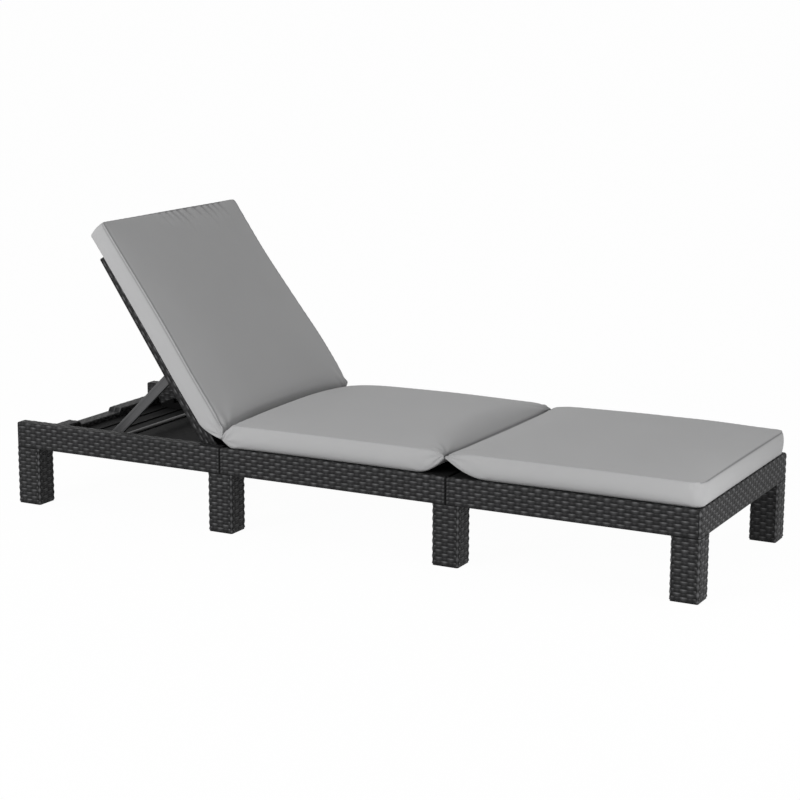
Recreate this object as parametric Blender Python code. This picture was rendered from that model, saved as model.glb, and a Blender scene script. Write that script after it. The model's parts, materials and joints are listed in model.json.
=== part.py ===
"""Sun lounger with a folding backrest and a three-section cushion.

Metres, +Z up. +X points to the foot end, +Y to the left of someone lying on it.
The origin is on the ground under the middle of the frame. The frame is three equal
moulded sections on eight legs. The backrest is built lying flat about its hinge and
is then turned up to its highest rest.
"""

import math

import bmesh
import bpy
from mathutils import Matrix, Vector

# Frame
LOUNGER_LENGTH = 1.955
LOUNGER_WIDTH = 0.653
DECK_HEIGHT = 0.225
APRON_DEPTH = 0.068
SECTIONS = 3
WALL = 0.004
RIB_WALL = 0.003
SEAM_GAP = 0.005
EDGE_ROUND = 0.004
EDGE_STEPS = 2
EDGE_PROFILE_SHARE = 0.5
DECK_RIB_DEPTH = 0.018
DECK_RIBS = 3
TOUCH = 0.0003
OVERLAP = 0.002
OVERRUN = 0.010

# Legs
LEG_LENGTH_X = 0.068
LEG_LENGTH_Y = 0.062
TENON_HEIGHT = 0.045
TENON_LENGTH = 0.044
HALF_TENON_LENGTH = 0.022
TENON_FIT = 0.0004
TENON_WALL = 0.003

# Bolts between the sections
BOLT_INSET = 0.1665
BOLT_RISE = 0.018
BOLT_DIAMETER = 0.008
BOLT_HEAD_DIAMETER = 0.015
BOLT_HEAD_HEIGHT = 0.004
BOLT_END = 0.003
NUT_SIDES = 6
NUT_WIDTH = 0.014
NUT_HEIGHT = 0.0065
PAD_SIZE = 0.028
HOLE_FIT = 0.0003

# Rear tray
RAIL_WIDTH = 0.034
REAR_RAIL_WIDTH = 0.040
REAR_RAIL_DROP = 0.038
GRIP_WIDTH = 0.200
GRIP_DEPTH = 0.010
BASIN_DEPTH = 0.060
FLOOR_RIBS = 3
FLOOR_RIB_HEIGHT = 0.003

# Backrest
RECLINE_ANGLE = math.radians(55.5)
HINGE_SETBACK = 0.0466
HINGE_DEPTH = 0.022
PANEL_SIDE_CLEARANCE = 0.005
PANEL_REST_CLEARANCE = 0.006
PANEL_SKIRT = 0.040
PANEL_FRONT_REACH = 0.024
PANEL_END_SETBACK = 0.0131
PANEL_ROUND = 0.006
PANEL_RIB_DEPTH = 0.024
PANEL_RIBS = 3
PANEL_RIB_SETBACK = 0.092
PIN_DIAMETER = 0.012
PIN_HEAD_DIAMETER = 0.018
PIN_HEAD_HEIGHT = 0.004
PIN_INNER_REACH = 0.006
BOSS_WALL = 0.005
BOSS_LENGTH = 0.008

# Prop
PROP_PIVOT_SHARE = 0.4034
ROD_FLAT_GAP = 0.0193
PROP_ARM_WIDTH = 0.026
PROP_ARM_THICKNESS = 0.010
PROP_ROD_DIAMETER = 0.012
PROP_ROD_REACH = 0.013
PROP_PIN_DIAMETER = 0.008
PROP_PIN_HEAD_DIAMETER = 0.014
PROP_PIN_HEAD_HEIGHT = 0.003
LUG_THICKNESS = 0.007
LUG_WIDTH = 0.026

# Racks that the prop's rod is set into
ROD_RISE = 0.020
NOTCHES = 4
RACK_END_GAP = 0.0362
RACK_SIDE_GAP = 0.003
TOOTH_HEIGHT = 0.012
TOOTH_TIP = 0.006
TOOTH_ROOT = 0.012
TEETH_THICKNESS = 0.012
ROD_END_CLEARANCE = 0.0005
LEDGE_CLEARANCE = 0.002

# Cushion
CUSHION_SIDE_GAP = 0.0105
CUSHION_END_SETBACK = 0.007
SEAT_BORDER = 0.062
BACK_BORDER = 0.050
CUSHION_CROWN = 0.014
BACK_HIP_CROWN = 0.026
CUSHION_DRAW = 0.004
BORDER_BULGE = 0.003
CUSHION_EDGE = 0.008
CUSHION_CORNER = 0.022
FOLD_THICKNESS = 0.003
FOLD_CLEARANCE = 0.003
HIP_FOLD_RISE = 0.026
KNEE_FOLD_RISE = 0.046
SEAT_HIP_TAPER = 0.032
SEAT_KNEE_TAPER = 0.055
FOOT_KNEE_TAPER = 0.075
BACK_HIP_TAPER = 0.056
TOP_TAPER = 0.036

# Smoothness
ROUND_SIDES = 24
ARC_STEPS = 8
SECTION_STATIONS = 22
TAPER_STATIONS = 6
EDGE_ANGLES = 3
BORDER_STEPS = 4
CROWN_STEPS = 10
CROWN_POWER = 0.75
CROWN_END_SHARE = 0.25
CROWN_FOLD_TAPERS = 2
EDGE_HEIGHT_SHARE = 1 / 3
SMOOTH_ANGLE = math.radians(35)

# Places that follow from the sizes
SECTION_LENGTH = LOUNGER_LENGTH / SECTIONS
FOOT_END = LOUNGER_LENGTH / 2
HEAD_END = -LOUNGER_LENGTH / 2
KNEE_SEAM = FOOT_END - SECTION_LENGTH
HIP_SEAM = HEAD_END + SECTION_LENGTH
HALF_WIDTH = LOUNGER_WIDTH / 2
APRON_BOTTOM = DECK_HEIGHT - APRON_DEPTH
RAIL_INNER = HALF_WIDTH - RAIL_WIDTH
BASIN_REAR = HEAD_END + REAR_RAIL_WIDTH
TRAY_FLOOR_TOP = DECK_HEIGHT - BASIN_DEPTH
REAR_RAIL_TOP = DECK_HEIGHT - REAR_RAIL_DROP
FOOT_HEIGHT = TRAY_FLOOR_TOP + ROD_RISE
BOLT_Y = HALF_WIDTH - BOLT_INSET
HINGE = Vector((HIP_SEAM - HINGE_SETBACK, 0, DECK_HEIGHT - HINGE_DEPTH))
PANEL_REAR_REACH = HINGE.x - HEAD_END - PANEL_END_SETBACK
PANEL_RIB_REACH = PANEL_REAR_REACH - PANEL_RIB_SETBACK
PANEL_HEAD_SKIRT = REAR_RAIL_DROP - PANEL_REST_CLEARANCE
PANEL_HALF_WIDTH = RAIL_INNER - PANEL_SIDE_CLEARANCE
PANEL_INNER = PANEL_HALF_WIDTH - WALL
PANEL_BOTTOM = HINGE_DEPTH - PANEL_SKIRT
PROP_PIVOT_REACH = PANEL_REAR_REACH * PROP_PIVOT_SHARE
PROP_LENGTH = HINGE.x - BASIN_REAR - ROD_FLAT_GAP - PROP_PIVOT_REACH
PROP_DROP = PROP_PIVOT_REACH * math.sin(RECLINE_ANGLE) + HINGE.z - FOOT_HEIGHT
PROP_SLOPE = math.asin(PROP_DROP / PROP_LENGTH)
PROP_FOOT_X = (
    HINGE.x
    - PROP_PIVOT_REACH * math.cos(RECLINE_ANGLE)
    - PROP_LENGTH * math.cos(PROP_SLOPE)
)
FIRST_TOOTH_X = PROP_FOOT_X - PROP_ROD_DIAMETER / 2 - TOUCH
NOTCH_PITCH = (FIRST_TOOTH_X + TOOTH_ROOT - BASIN_REAR - RACK_END_GAP) / NOTCHES
TEETH_INNER = PANEL_INNER - RACK_SIDE_GAP - TEETH_THICKNESS
ROD_HALF_LENGTH = TEETH_INNER - ROD_END_CLEARANCE
ARM_OUTER = ROD_HALF_LENGTH - PROP_ROD_REACH
ARM_INNER = ARM_OUTER - PROP_ARM_THICKNESS
LEDGE_INNER = ARM_OUTER + LEDGE_CLEARANCE
CUSHION_HALF_WIDTH = HALF_WIDTH - CUSHION_SIDE_GAP
CUSHION_BOTTOM = DECK_HEIGHT + TOUCH

# The back cushion turns about the axis that keeps it on the panel at both limits.
FOLD_TILT = RECLINE_ANGLE / 2
FOLD_REACH = HINGE_SETBACK * math.sin(FOLD_TILT) + (
    HINGE_DEPTH + HIP_FOLD_RISE
) * math.cos(FOLD_TILT)
FOLD_AXIS = HINGE + FOLD_REACH * Vector((math.sin(FOLD_TILT), 0, math.cos(FOLD_TILT)))
CUSHION_REACH = FOLD_AXIS.x - HEAD_END - CUSHION_END_SETBACK


def make_material(name, colour, roughness, metallic=0.0):
    material = bpy.data.materials.new(name)
    material.use_nodes = True
    shader = material.node_tree.nodes["Principled BSDF"]
    shader.inputs["Base Color"].default_value = (*colour, 1)
    shader.inputs["Roughness"].default_value = roughness
    shader.inputs["Metallic"].default_value = metallic
    material.diffuse_color = (*colour, 1)
    return material


def clear_scene():
    for obj in list(bpy.data.objects):
        bpy.data.objects.remove(obj)


def add_object(name, mesh, material=None, parent=None):
    obj = bpy.data.objects.new(name, mesh)
    bpy.context.collection.objects.link(obj)
    if material:
        mesh.materials.append(material)
    if parent:
        obj.parent = parent
    return obj


def mesh_from(bm, name):
    bmesh.ops.recalc_face_normals(bm, faces=bm.faces)
    mesh = bpy.data.meshes.new(name)
    bm.to_mesh(mesh)
    bm.free()
    return mesh


def box_bmesh(low, high):
    size = Vector(high) - Vector(low)
    middle = (Vector(high) + Vector(low)) / 2
    bm = bmesh.new()
    bmesh.ops.create_cube(bm, size=1)
    bmesh.ops.scale(bm, vec=size, verts=bm.verts)
    bmesh.ops.translate(bm, vec=middle, verts=bm.verts)
    return bm


def block(name, low, high, material=None, parent=None):
    return add_object(name, mesh_from(box_bmesh(low, high), name), material, parent)


def is_upright(edge):
    a, b = (v.co for v in edge.verts)
    return abs(a.x - b.x) < TOUCH and abs(a.y - b.y) < TOUCH


def is_on_top(edge, top):
    return all(abs(v.co.z - top) < TOUCH for v in edge.verts)


def rounded_block(name, low, high, radius, material, parent=None, top=False):
    """A block whose upright edges, and on request its top edges, are rounded."""
    bm = box_bmesh(low, high)
    edges = [e for e in bm.edges if is_upright(e) or (top and is_on_top(e, high[2]))]
    bmesh.ops.bevel(
        bm,
        geom=edges,
        offset=radius,
        segments=EDGE_STEPS,
        profile=EDGE_PROFILE_SHARE,
        affect="EDGES",
    )
    return add_object(name, mesh_from(bm, name), material, parent)


def turned_along(axis, start, end):
    """The matrix that lays a unit cylinder along one axis between two points."""
    turn = Matrix.Rotation(math.pi / 2, 4, "Y" if axis == "X" else "X")
    return Matrix.Translation((Vector(start) + Vector(end)) / 2) @ turn


def cylinder(name, start, end, diameter, material=None, parent=None, sides=ROUND_SIDES):
    """A cylinder between two points on a line along X or Y."""
    span = Vector(end) - Vector(start)
    axis = "X" if abs(span.x) > abs(span.y) else "Y"
    bm = bmesh.new()
    bmesh.ops.create_cone(
        bm,
        cap_ends=True,
        segments=sides,
        radius1=diameter / 2,
        radius2=diameter / 2,
        depth=span.length,
        matrix=turned_along(axis, start, end),
    )
    obj = add_object(name, mesh_from(bm, name), material, parent)
    obj.data.shade_smooth()
    obj.data.set_sharp_from_angle(angle=SMOOTH_ANGLE)
    return obj


def extruded(name, outline, low_y, high_y, material=None, parent=None):
    """An outline of (x, z) points carried along Y."""
    bm = bmesh.new()
    face = bm.faces.new([bm.verts.new((x, low_y, z)) for x, z in outline])
    carried = bmesh.ops.extrude_face_region(bm, geom=[face])
    moved = [v for v in carried["geom"] if isinstance(v, bmesh.types.BMVert)]
    bmesh.ops.translate(bm, vec=(0, high_y - low_y, 0), verts=moved)
    return add_object(name, mesh_from(bm, name), material, parent)


def apply_tool(target, tool, operation):
    """Joins or cuts one solid with a helper that stays out of the renders."""
    modifier = target.modifiers.new(tool.name, "BOOLEAN")
    modifier.operation = operation
    modifier.solver = "EXACT"
    modifier.object = tool
    tool.hide_render = True
    tool.display_type = "WIRE"


def join(target, tool):
    apply_tool(target, tool, "UNION")


def cut(target, tool):
    apply_tool(target, tool, "DIFFERENCE")


def helper_name(target, what):
    return f"{what}_in_{target.name}"


def cut_block(target, what, low, high, parent=None):
    cut(target, block(helper_name(target, what), low, high, parent=parent))


def join_block(target, what, low, high, parent=None):
    join(target, block(helper_name(target, what), low, high, parent=parent))


def cut_hole(target, what, start, end, diameter, parent=None):
    cut(target, cylinder(helper_name(target, what), start, end, diameter, parent=parent))


def mirrored_box(side, low, high):
    """The same box on the left, side 1, or on the right, side -1."""
    near, far = sorted((side * low[1], side * high[1]))
    return (low[0], near, low[2]), (high[0], far, high[2])


SIDES = (("left", 1), ("right", -1))


def shares(count):
    """Evenly spaced places strictly between 0 and 1."""
    return [(i + 1) / (count + 1) for i in range(count)]


def add_socket(section, end_x, inward, tenon_length, own_inner_wall):
    """The pockets in both corners of one end of a section, which take the leg tenons."""
    depth = WALL + tenon_length + 2 * TENON_FIT
    wall_x = end_x + inward * depth
    across = sorted((wall_x, wall_x + inward * RIB_WALL))
    along = sorted((end_x + inward * (WALL - OVERLAP), wall_x + inward * OVERLAP))
    low_z, high_z = APRON_BOTTOM + OVERLAP, DECK_HEIGHT - WALL + OVERLAP
    inner_low = RAIL_INNER
    for word, side in SIDES:
        low, high = mirrored_box(
            side,
            (across[0], inner_low, low_z),
            (across[1], HALF_WIDTH - WALL + OVERLAP, high_z),
        )
        join_block(section, f"socket_end_{word}_{inward}", low, high)
        if own_inner_wall:
            low, high = mirrored_box(
                side,
                (along[0], inner_low, low_z),
                (along[1], inner_low + WALL, high_z),
            )
            join_block(section, f"socket_side_{word}_{inward}", low, high)


def bolt_height():
    return APRON_BOTTOM + BOLT_RISE


def add_joint_pads(section, end_x, seam_x):
    """Pads that close the seam between two sections round each bolt, with its hole."""
    outward = 1 if seam_x > end_x else -1
    face = seam_x - outward * TOUCH / 2
    root = end_x - outward * OVERLAP
    z = bolt_height()
    half = PAD_SIZE / 2
    for word, side in SIDES:
        y = side * BOLT_Y
        low = (min(face, root), y - half, z - half)
        high = (max(face, root), y + half, z + half)
        join_block(section, f"joint_pad_{word}_{outward}", low, high)
        start = (min(face, root) - OVERRUN, y, z)
        end = (max(face, root) + OVERRUN, y, z)
        diameter = BOLT_DIAMETER + 2 * HOLE_FIT
        cut_hole(section, f"bolt_hole_{word}_{outward}", start, end, diameter)


def make_deck(name, low_x, high_x, low_tenon, high_tenon, low_seam, high_seam, material):
    """A moulded deck: a plate with a skirt round it, open below, with cross ribs."""
    deck = rounded_block(
        name,
        (low_x, -HALF_WIDTH, APRON_BOTTOM),
        (high_x, HALF_WIDTH, DECK_HEIGHT),
        EDGE_ROUND,
        material,
        top=True,
    )
    cut_block(
        deck,
        "hollow",
        (low_x + WALL, -HALF_WIDTH + WALL, APRON_BOTTOM - OVERRUN),
        (high_x - WALL, HALF_WIDTH - WALL, DECK_HEIGHT - WALL),
    )
    rib_top = DECK_HEIGHT - WALL + OVERLAP
    rib_bottom = DECK_HEIGHT - WALL - DECK_RIB_DEPTH
    for i, share in enumerate(shares(DECK_RIBS)):
        x = low_x + share * (high_x - low_x)
        join_block(
            deck,
            f"cross_rib_{i}",
            (x - RIB_WALL / 2, -HALF_WIDTH + WALL - OVERLAP, rib_bottom),
            (x + RIB_WALL / 2, HALF_WIDTH - WALL + OVERLAP, rib_top),
        )
    add_socket(deck, low_x, 1, low_tenon, own_inner_wall=True)
    add_socket(deck, high_x, -1, high_tenon, own_inner_wall=True)
    if low_seam is not None:
        add_joint_pads(deck, low_x, low_seam)
    if high_seam is not None:
        add_joint_pads(deck, high_x, high_seam)
    return deck


def make_decks(material):
    half_gap = SEAM_GAP / 2
    make_deck(
        "foot_deck",
        KNEE_SEAM + half_gap,
        FOOT_END,
        HALF_TENON_LENGTH,
        TENON_LENGTH,
        KNEE_SEAM,
        None,
        material,
    )
    make_deck(
        "seat_deck",
        HIP_SEAM + half_gap,
        KNEE_SEAM - half_gap,
        HALF_TENON_LENGTH,
        HALF_TENON_LENGTH,
        HIP_SEAM,
        KNEE_SEAM,
        material,
    )


def cut_tray_hollows(tray, low_x, high_x):
    """The basin that the backrest folds into, and the hollows under rails and floor."""
    cut_block(
        tray,
        "basin",
        (BASIN_REAR, -RAIL_INNER, TRAY_FLOOR_TOP),
        (high_x - WALL, RAIL_INNER, DECK_HEIGHT + OVERRUN),
    )
    cut_block(
        tray,
        "rear_drop",
        (low_x - OVERRUN, -RAIL_INNER, REAR_RAIL_TOP),
        (BASIN_REAR + OVERLAP, RAIL_INNER, DECK_HEIGHT + OVERRUN),
    )
    cut_block(
        tray,
        "grip",
        (low_x - OVERRUN, -GRIP_WIDTH / 2, REAR_RAIL_TOP - GRIP_DEPTH),
        (BASIN_REAR + OVERLAP, GRIP_WIDTH / 2, REAR_RAIL_TOP + OVERLAP),
    )
    cut_block(
        tray,
        "under_floor",
        (BASIN_REAR, -RAIL_INNER + WALL, APRON_BOTTOM - OVERRUN),
        (high_x - WALL, RAIL_INNER - WALL, TRAY_FLOOR_TOP - WALL),
    )
    cut_block(
        tray,
        "under_rear_rail",
        (low_x + WALL, -RAIL_INNER + WALL, APRON_BOTTOM - OVERRUN),
        (BASIN_REAR - WALL, RAIL_INNER - WALL, REAR_RAIL_TOP - GRIP_DEPTH - WALL),
    )
    for word, side in SIDES:
        low, high = mirrored_box(
            side,
            (low_x + WALL, RAIL_INNER + WALL, APRON_BOTTOM - OVERRUN),
            (high_x - WALL, HALF_WIDTH - WALL, DECK_HEIGHT - WALL),
        )
        cut_block(tray, f"under_rail_{word}", low, high)


def make_rear_tray(material):
    """The head-end section: two side rails, a low rear rail and a closed floor."""
    low_x, high_x = HEAD_END, HIP_SEAM - SEAM_GAP / 2
    tray = rounded_block(
        "rear_tray",
        (low_x, -HALF_WIDTH, APRON_BOTTOM),
        (high_x, HALF_WIDTH, DECK_HEIGHT),
        EDGE_ROUND,
        material,
        top=True,
    )
    cut_tray_hollows(tray, low_x, high_x)
    rib_half = LEDGE_INNER - LEDGE_CLEARANCE
    for i, share in enumerate(shares(FLOOR_RIBS)):
        x = BASIN_REAR + share * (PROP_FOOT_X - BASIN_REAR)
        join_block(
            tray,
            f"floor_rib_{i}",
            (x - RIB_WALL / 2, -rib_half, TRAY_FLOOR_TOP - OVERLAP),
            (x + RIB_WALL / 2, rib_half, TRAY_FLOOR_TOP + FLOOR_RIB_HEIGHT),
        )
    add_socket(tray, low_x, 1, TENON_LENGTH, own_inner_wall=False)
    add_socket(tray, high_x, -1, HALF_TENON_LENGTH, own_inner_wall=False)
    add_joint_pads(tray, high_x, HIP_SEAM)
    for word, side in SIDES:
        start = (HINGE.x, side * (RAIL_INNER - OVERRUN), HINGE.z)
        end = (HINGE.x, side * (RAIL_INNER + OVERRUN), HINGE.z)
        cut_hole(tray, f"pin_hole_{word}", start, end, PIN_DIAMETER + 2 * HOLE_FIT)


def tenon_spans(place):
    """The reach along X of each tenon of a leg, for an end leg or one astride a seam."""
    if place == "foot":
        high = FOOT_END - WALL - TENON_FIT
        return [(high - TENON_LENGTH, high)]
    if place == "rear":
        low = HEAD_END + WALL + TENON_FIT
        return [(low, low + TENON_LENGTH)]
    seam = KNEE_SEAM if place == "knee" else HIP_SEAM
    near = SEAM_GAP / 2 + WALL + TENON_FIT
    far = near + HALF_TENON_LENGTH
    return [(seam - far, seam - near), (seam + near, seam + far)]


def leg_span(place):
    """The reach of a leg along X."""
    if place == "foot":
        return FOOT_END - LEG_LENGTH_X, FOOT_END
    if place == "rear":
        return HEAD_END, HEAD_END + LEG_LENGTH_X
    seam = KNEE_SEAM if place == "knee" else HIP_SEAM
    return seam - LEG_LENGTH_X / 2, seam + LEG_LENGTH_X / 2


def make_leg(place, word, side, material):
    """A hollow square leg with a closed foot, whose open tenons push up into the frame."""
    low_x, high_x = leg_span(place)
    top = APRON_BOTTOM - TOUCH
    low, high = mirrored_box(
        side, (low_x, HALF_WIDTH - LEG_LENGTH_Y, 0), (high_x, HALF_WIDTH, top)
    )
    leg = rounded_block(f"leg_{place}_{word}", low, high, EDGE_ROUND, material)
    tenon_low_y = RAIL_INNER + WALL + TENON_FIT
    tenon_high_y = HALF_WIDTH - WALL - TENON_FIT
    spans = tenon_spans(place)
    for i, (start, end) in enumerate(spans):
        low, high = mirrored_box(
            side, (start, tenon_low_y, top - OVERLAP), (end, tenon_high_y, top + TENON_HEIGHT)
        )
        join_block(leg, f"tenon_{i}", low, high)
    low, high = mirrored_box(
        side,
        (low_x + WALL, HALF_WIDTH - LEG_LENGTH_Y + WALL, WALL),
        (high_x - WALL, HALF_WIDTH - WALL, top - WALL),
    )
    cut_block(leg, "hollow", low, high)
    for i, (start, end) in enumerate(spans):
        low, high = mirrored_box(
            side,
            (start + TENON_WALL, tenon_low_y + TENON_WALL, top - WALL - OVERLAP),
            (end - TENON_WALL, tenon_high_y - TENON_WALL, top + TENON_HEIGHT + OVERRUN),
        )
        cut_block(leg, f"bore_{i}", low, high)


def make_legs(material):
    for place in ("foot", "knee", "hip", "rear"):
        for word, side in SIDES:
            make_leg(place, word, side, material)


def make_bolt(place, seam, word, side, material):
    """A bolt through the end walls of two sections, and its nut."""
    y, z = side * BOLT_Y, bolt_height()
    wall_face = SEAM_GAP / 2 + WALL
    head_face = seam - wall_face - TOUCH
    nut_face = seam + wall_face + TOUCH
    bolt = cylinder(
        f"joint_bolt_{place}_{word}",
        (head_face - BOLT_HEAD_HEIGHT, y, z),
        (head_face, y, z),
        BOLT_HEAD_DIAMETER,
        material,
    )
    shank_end = nut_face + NUT_HEIGHT + BOLT_END
    shank = cylinder(
        helper_name(bolt, "shank"),
        (head_face - BOLT_HEAD_HEIGHT / 2, y, z),
        (shank_end, y, z),
        BOLT_DIAMETER,
    )
    join(bolt, shank)
    nut = cylinder(
        f"joint_nut_{place}_{word}",
        (nut_face, y, z),
        (nut_face + NUT_HEIGHT, y, z),
        NUT_WIDTH / math.cos(math.pi / NUT_SIDES),
        material,
        sides=NUT_SIDES,
    )
    start = (nut_face - OVERRUN, y, z)
    end = (nut_face + NUT_HEIGHT + OVERRUN, y, z)
    cut_hole(nut, "thread", start, end, BOLT_DIAMETER + 2 * HOLE_FIT)


def make_bolts(material):
    for place, seam in (("knee", KNEE_SEAM), ("hip", HIP_SEAM)):
        for word, side in SIDES:
            make_bolt(place, seam, word, side, material)


def make_empty(name, location, turn, parent=None):
    """An empty on a joint's axis, turned about Y, that carries what moves there."""
    empty = bpy.data.objects.new(name, None)
    bpy.context.collection.objects.link(empty)
    empty.parent = parent
    empty.location = location
    empty.rotation_euler = (0, turn, 0)
    return empty


def add_panel_ribs(panel, hinge):
    """Ribs under the panel that run from its front edge towards its far end."""
    rib_top = HINGE_DEPTH - WALL + OVERLAP
    rib_bottom = HINGE_DEPTH - WALL - PANEL_RIB_DEPTH
    for i, share in enumerate(shares(PANEL_RIBS)):
        y = -PANEL_INNER + share * 2 * PANEL_INNER
        join_block(
            panel,
            f"long_rib_{i}",
            (-PANEL_RIB_REACH, y - RIB_WALL / 2, rib_bottom),
            (PANEL_FRONT_REACH - WALL + OVERLAP, y + RIB_WALL / 2, rib_top),
            hinge,
        )


def add_panel_hardware(panel, hinge, word, side):
    """The boss and hole of one hinge pin, and the lug that carries one prop arm."""
    boss = cylinder(
        helper_name(panel, f"hinge_boss_{word}"),
        (0, side * (PANEL_INNER - BOSS_LENGTH), 0),
        (0, side * (PANEL_INNER + OVERLAP), 0),
        PIN_DIAMETER + 2 * BOSS_WALL,
        parent=hinge,
    )
    join(panel, boss)
    start = (0, side * (PANEL_INNER - BOSS_LENGTH - OVERRUN), 0)
    end = (0, side * (PANEL_HALF_WIDTH + OVERRUN), 0)
    hole = PIN_DIAMETER + 2 * HOLE_FIT
    cut_hole(panel, f"hinge_hole_{word}", start, end, hole, hinge)
    lug_outer = ARM_INNER - TOUCH
    half = LUG_WIDTH / 2
    low, high = mirrored_box(
        side,
        (-PROP_PIVOT_REACH - half, lug_outer - LUG_THICKNESS, -half),
        (-PROP_PIVOT_REACH + half, lug_outer, HINGE_DEPTH - WALL + OVERLAP),
    )
    join_block(panel, f"prop_lug_{word}", low, high, hinge)
    start = (-PROP_PIVOT_REACH, side * (lug_outer - LUG_THICKNESS - OVERRUN), 0)
    end = (-PROP_PIVOT_REACH, side * (lug_outer + OVERRUN), 0)
    hole = PROP_PIN_DIAMETER + 2 * HOLE_FIT
    cut_hole(panel, f"prop_hole_{word}", start, end, hole, hinge)


def taper_skirt(panel, hinge):
    """Cuts the skirt's lower edge so that it is shallower at the head end."""
    head, front = -PANEL_REAR_REACH - OVERRUN, PANEL_FRONT_REACH + OVERRUN
    outline = (
        (head, HINGE_DEPTH - PANEL_HEAD_SKIRT),
        (head, PANEL_BOTTOM - OVERRUN),
        (front, PANEL_BOTTOM - OVERRUN),
        (front, PANEL_BOTTOM),
    )
    reach = PANEL_HALF_WIDTH + OVERRUN
    name = helper_name(panel, "skirt_taper")
    cut(panel, extruded(name, outline, -reach, reach, parent=hinge))


def make_panel(hinge, material):
    """The backrest panel: a plate with a skirt, open behind, on its hinge axis."""
    panel = rounded_block(
        "backrest_panel",
        (-PANEL_REAR_REACH, -PANEL_HALF_WIDTH, PANEL_BOTTOM),
        (PANEL_FRONT_REACH, PANEL_HALF_WIDTH, HINGE_DEPTH),
        PANEL_ROUND,
        material,
        hinge,
        top=True,
    )
    cut_block(
        panel,
        "hollow",
        (-PANEL_REAR_REACH + WALL, -PANEL_INNER, PANEL_BOTTOM - OVERRUN),
        (PANEL_FRONT_REACH - WALL, PANEL_INNER, HINGE_DEPTH - WALL),
        hinge,
    )
    taper_skirt(panel, hinge)
    add_panel_ribs(panel, hinge)
    for word, side in SIDES:
        add_panel_hardware(panel, hinge, word, side)


def make_hinge_pin(word, side, material):
    """A pin from the hollow of a side rail through its inner wall into the panel."""
    head_face = RAIL_INNER + WALL + TOUCH
    head_end = head_face + PIN_HEAD_HEIGHT
    tip = PANEL_INNER - PIN_INNER_REACH
    pin = cylinder(
        f"hinge_pin_{word}",
        (HINGE.x, side * tip, HINGE.z),
        (HINGE.x, side * (head_face + PIN_HEAD_HEIGHT / 2), HINGE.z),
        PIN_DIAMETER,
        material,
    )
    head = cylinder(
        helper_name(pin, "head"),
        (HINGE.x, side * head_face, HINGE.z),
        (HINGE.x, side * head_end, HINGE.z),
        PIN_HEAD_DIAMETER,
    )
    join(pin, head)


def arm_outline():
    """A bar with round ends from the prop's pivot, at 0, to its foot."""
    radius = PROP_ARM_WIDTH / 2
    points = []
    for centre, first in ((0, -math.pi / 2), (-PROP_LENGTH, math.pi / 2)):
        for i in range(ARC_STEPS + 1):
            angle = first + math.pi * i / ARC_STEPS
            points.append((centre + radius * math.cos(angle), radius * math.sin(angle)))
    return points


def make_prop_arm(pivot, word, side, material):
    low_y, high_y = sorted((side * ARM_INNER, side * ARM_OUTER))
    arm = extruded(f"prop_arm_{word}", arm_outline(), low_y, high_y, material, pivot)
    for what, x, diameter in (
        ("pin_hole", 0, PROP_PIN_DIAMETER),
        ("rod_hole", -PROP_LENGTH, PROP_ROD_DIAMETER),
    ):
        start, end = (x, low_y - OVERRUN, 0), (x, high_y + OVERRUN, 0)
        cut_hole(arm, f"{what}_{word}", start, end, diameter + 2 * HOLE_FIT, pivot)


def make_prop_pin(hinge, word, side, material):
    """The pin of one arm, headed outside the arm and fast in the panel's lug."""
    head_face = ARM_OUTER + TOUCH
    tip = ARM_INNER - TOUCH - LUG_THICKNESS - PROP_PIN_HEAD_HEIGHT
    x = -PROP_PIVOT_REACH
    pin = cylinder(
        f"prop_pin_{word}",
        (x, side * tip, 0),
        (x, side * (head_face + PROP_PIN_HEAD_HEIGHT / 2), 0),
        PROP_PIN_DIAMETER,
        material,
        hinge,
    )
    head = cylinder(
        helper_name(pin, "head"),
        (x, side * head_face, 0),
        (x, side * (head_face + PROP_PIN_HEAD_HEIGHT), 0),
        PROP_PIN_HEAD_DIAMETER,
        parent=hinge,
    )
    join(pin, head)


def make_prop(hinge, material):
    pivot = make_empty(
        "prop_pivot", (-PROP_PIVOT_REACH, 0, 0), -RECLINE_ANGLE - PROP_SLOPE, hinge
    )
    for word, side in SIDES:
        make_prop_arm(pivot, word, side, material)
        make_prop_pin(hinge, word, side, material)
    cylinder(
        "prop_rod",
        (-PROP_LENGTH, -ROD_HALF_LENGTH, 0),
        (-PROP_LENGTH, ROD_HALF_LENGTH, 0),
        PROP_ROD_DIAMETER,
        material,
        pivot,
    )


def rack_outline():
    """Saw teeth, upright on the side that takes the rod's push, from front to rear."""
    low = TRAY_FLOOR_TOP + TOUCH
    ledge = FOOT_HEIGHT - PROP_ROD_DIAMETER / 2 - TOUCH
    front = PROP_FOOT_X + NOTCH_PITCH - TOOTH_ROOT
    points = [(front, low), (front, ledge)]
    for i in range(NOTCHES):
        upright = FIRST_TOOTH_X - i * NOTCH_PITCH
        points.append((upright, ledge))
        points.append((upright, ledge + TOOTH_HEIGHT))
        points.append((upright - TOOTH_TIP, ledge + TOOTH_HEIGHT))
        points.append((upright - NOTCH_PITCH + TOOTH_ROOT, ledge))
    points.append((points[-1][0], low))
    return points


def make_racks(material):
    """Ledges that carry the rod's ends, with the teeth just beyond them."""
    outline = rack_outline()
    front, rear = outline[0][0], outline[-1][0]
    ledge_top = outline[1][1]
    for word, side in SIDES:
        low_y, high_y = sorted((side * TEETH_INNER, side * (TEETH_INNER + TEETH_THICKNESS)))
        rack = extruded(f"rack_{word}", outline, low_y, high_y, material)
        low, high = mirrored_box(
            side,
            (rear, LEDGE_INNER, TRAY_FLOOR_TOP + TOUCH),
            (front, TEETH_INNER + OVERLAP, ledge_top),
        )
        join_block(rack, "ledge", low, high)


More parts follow.
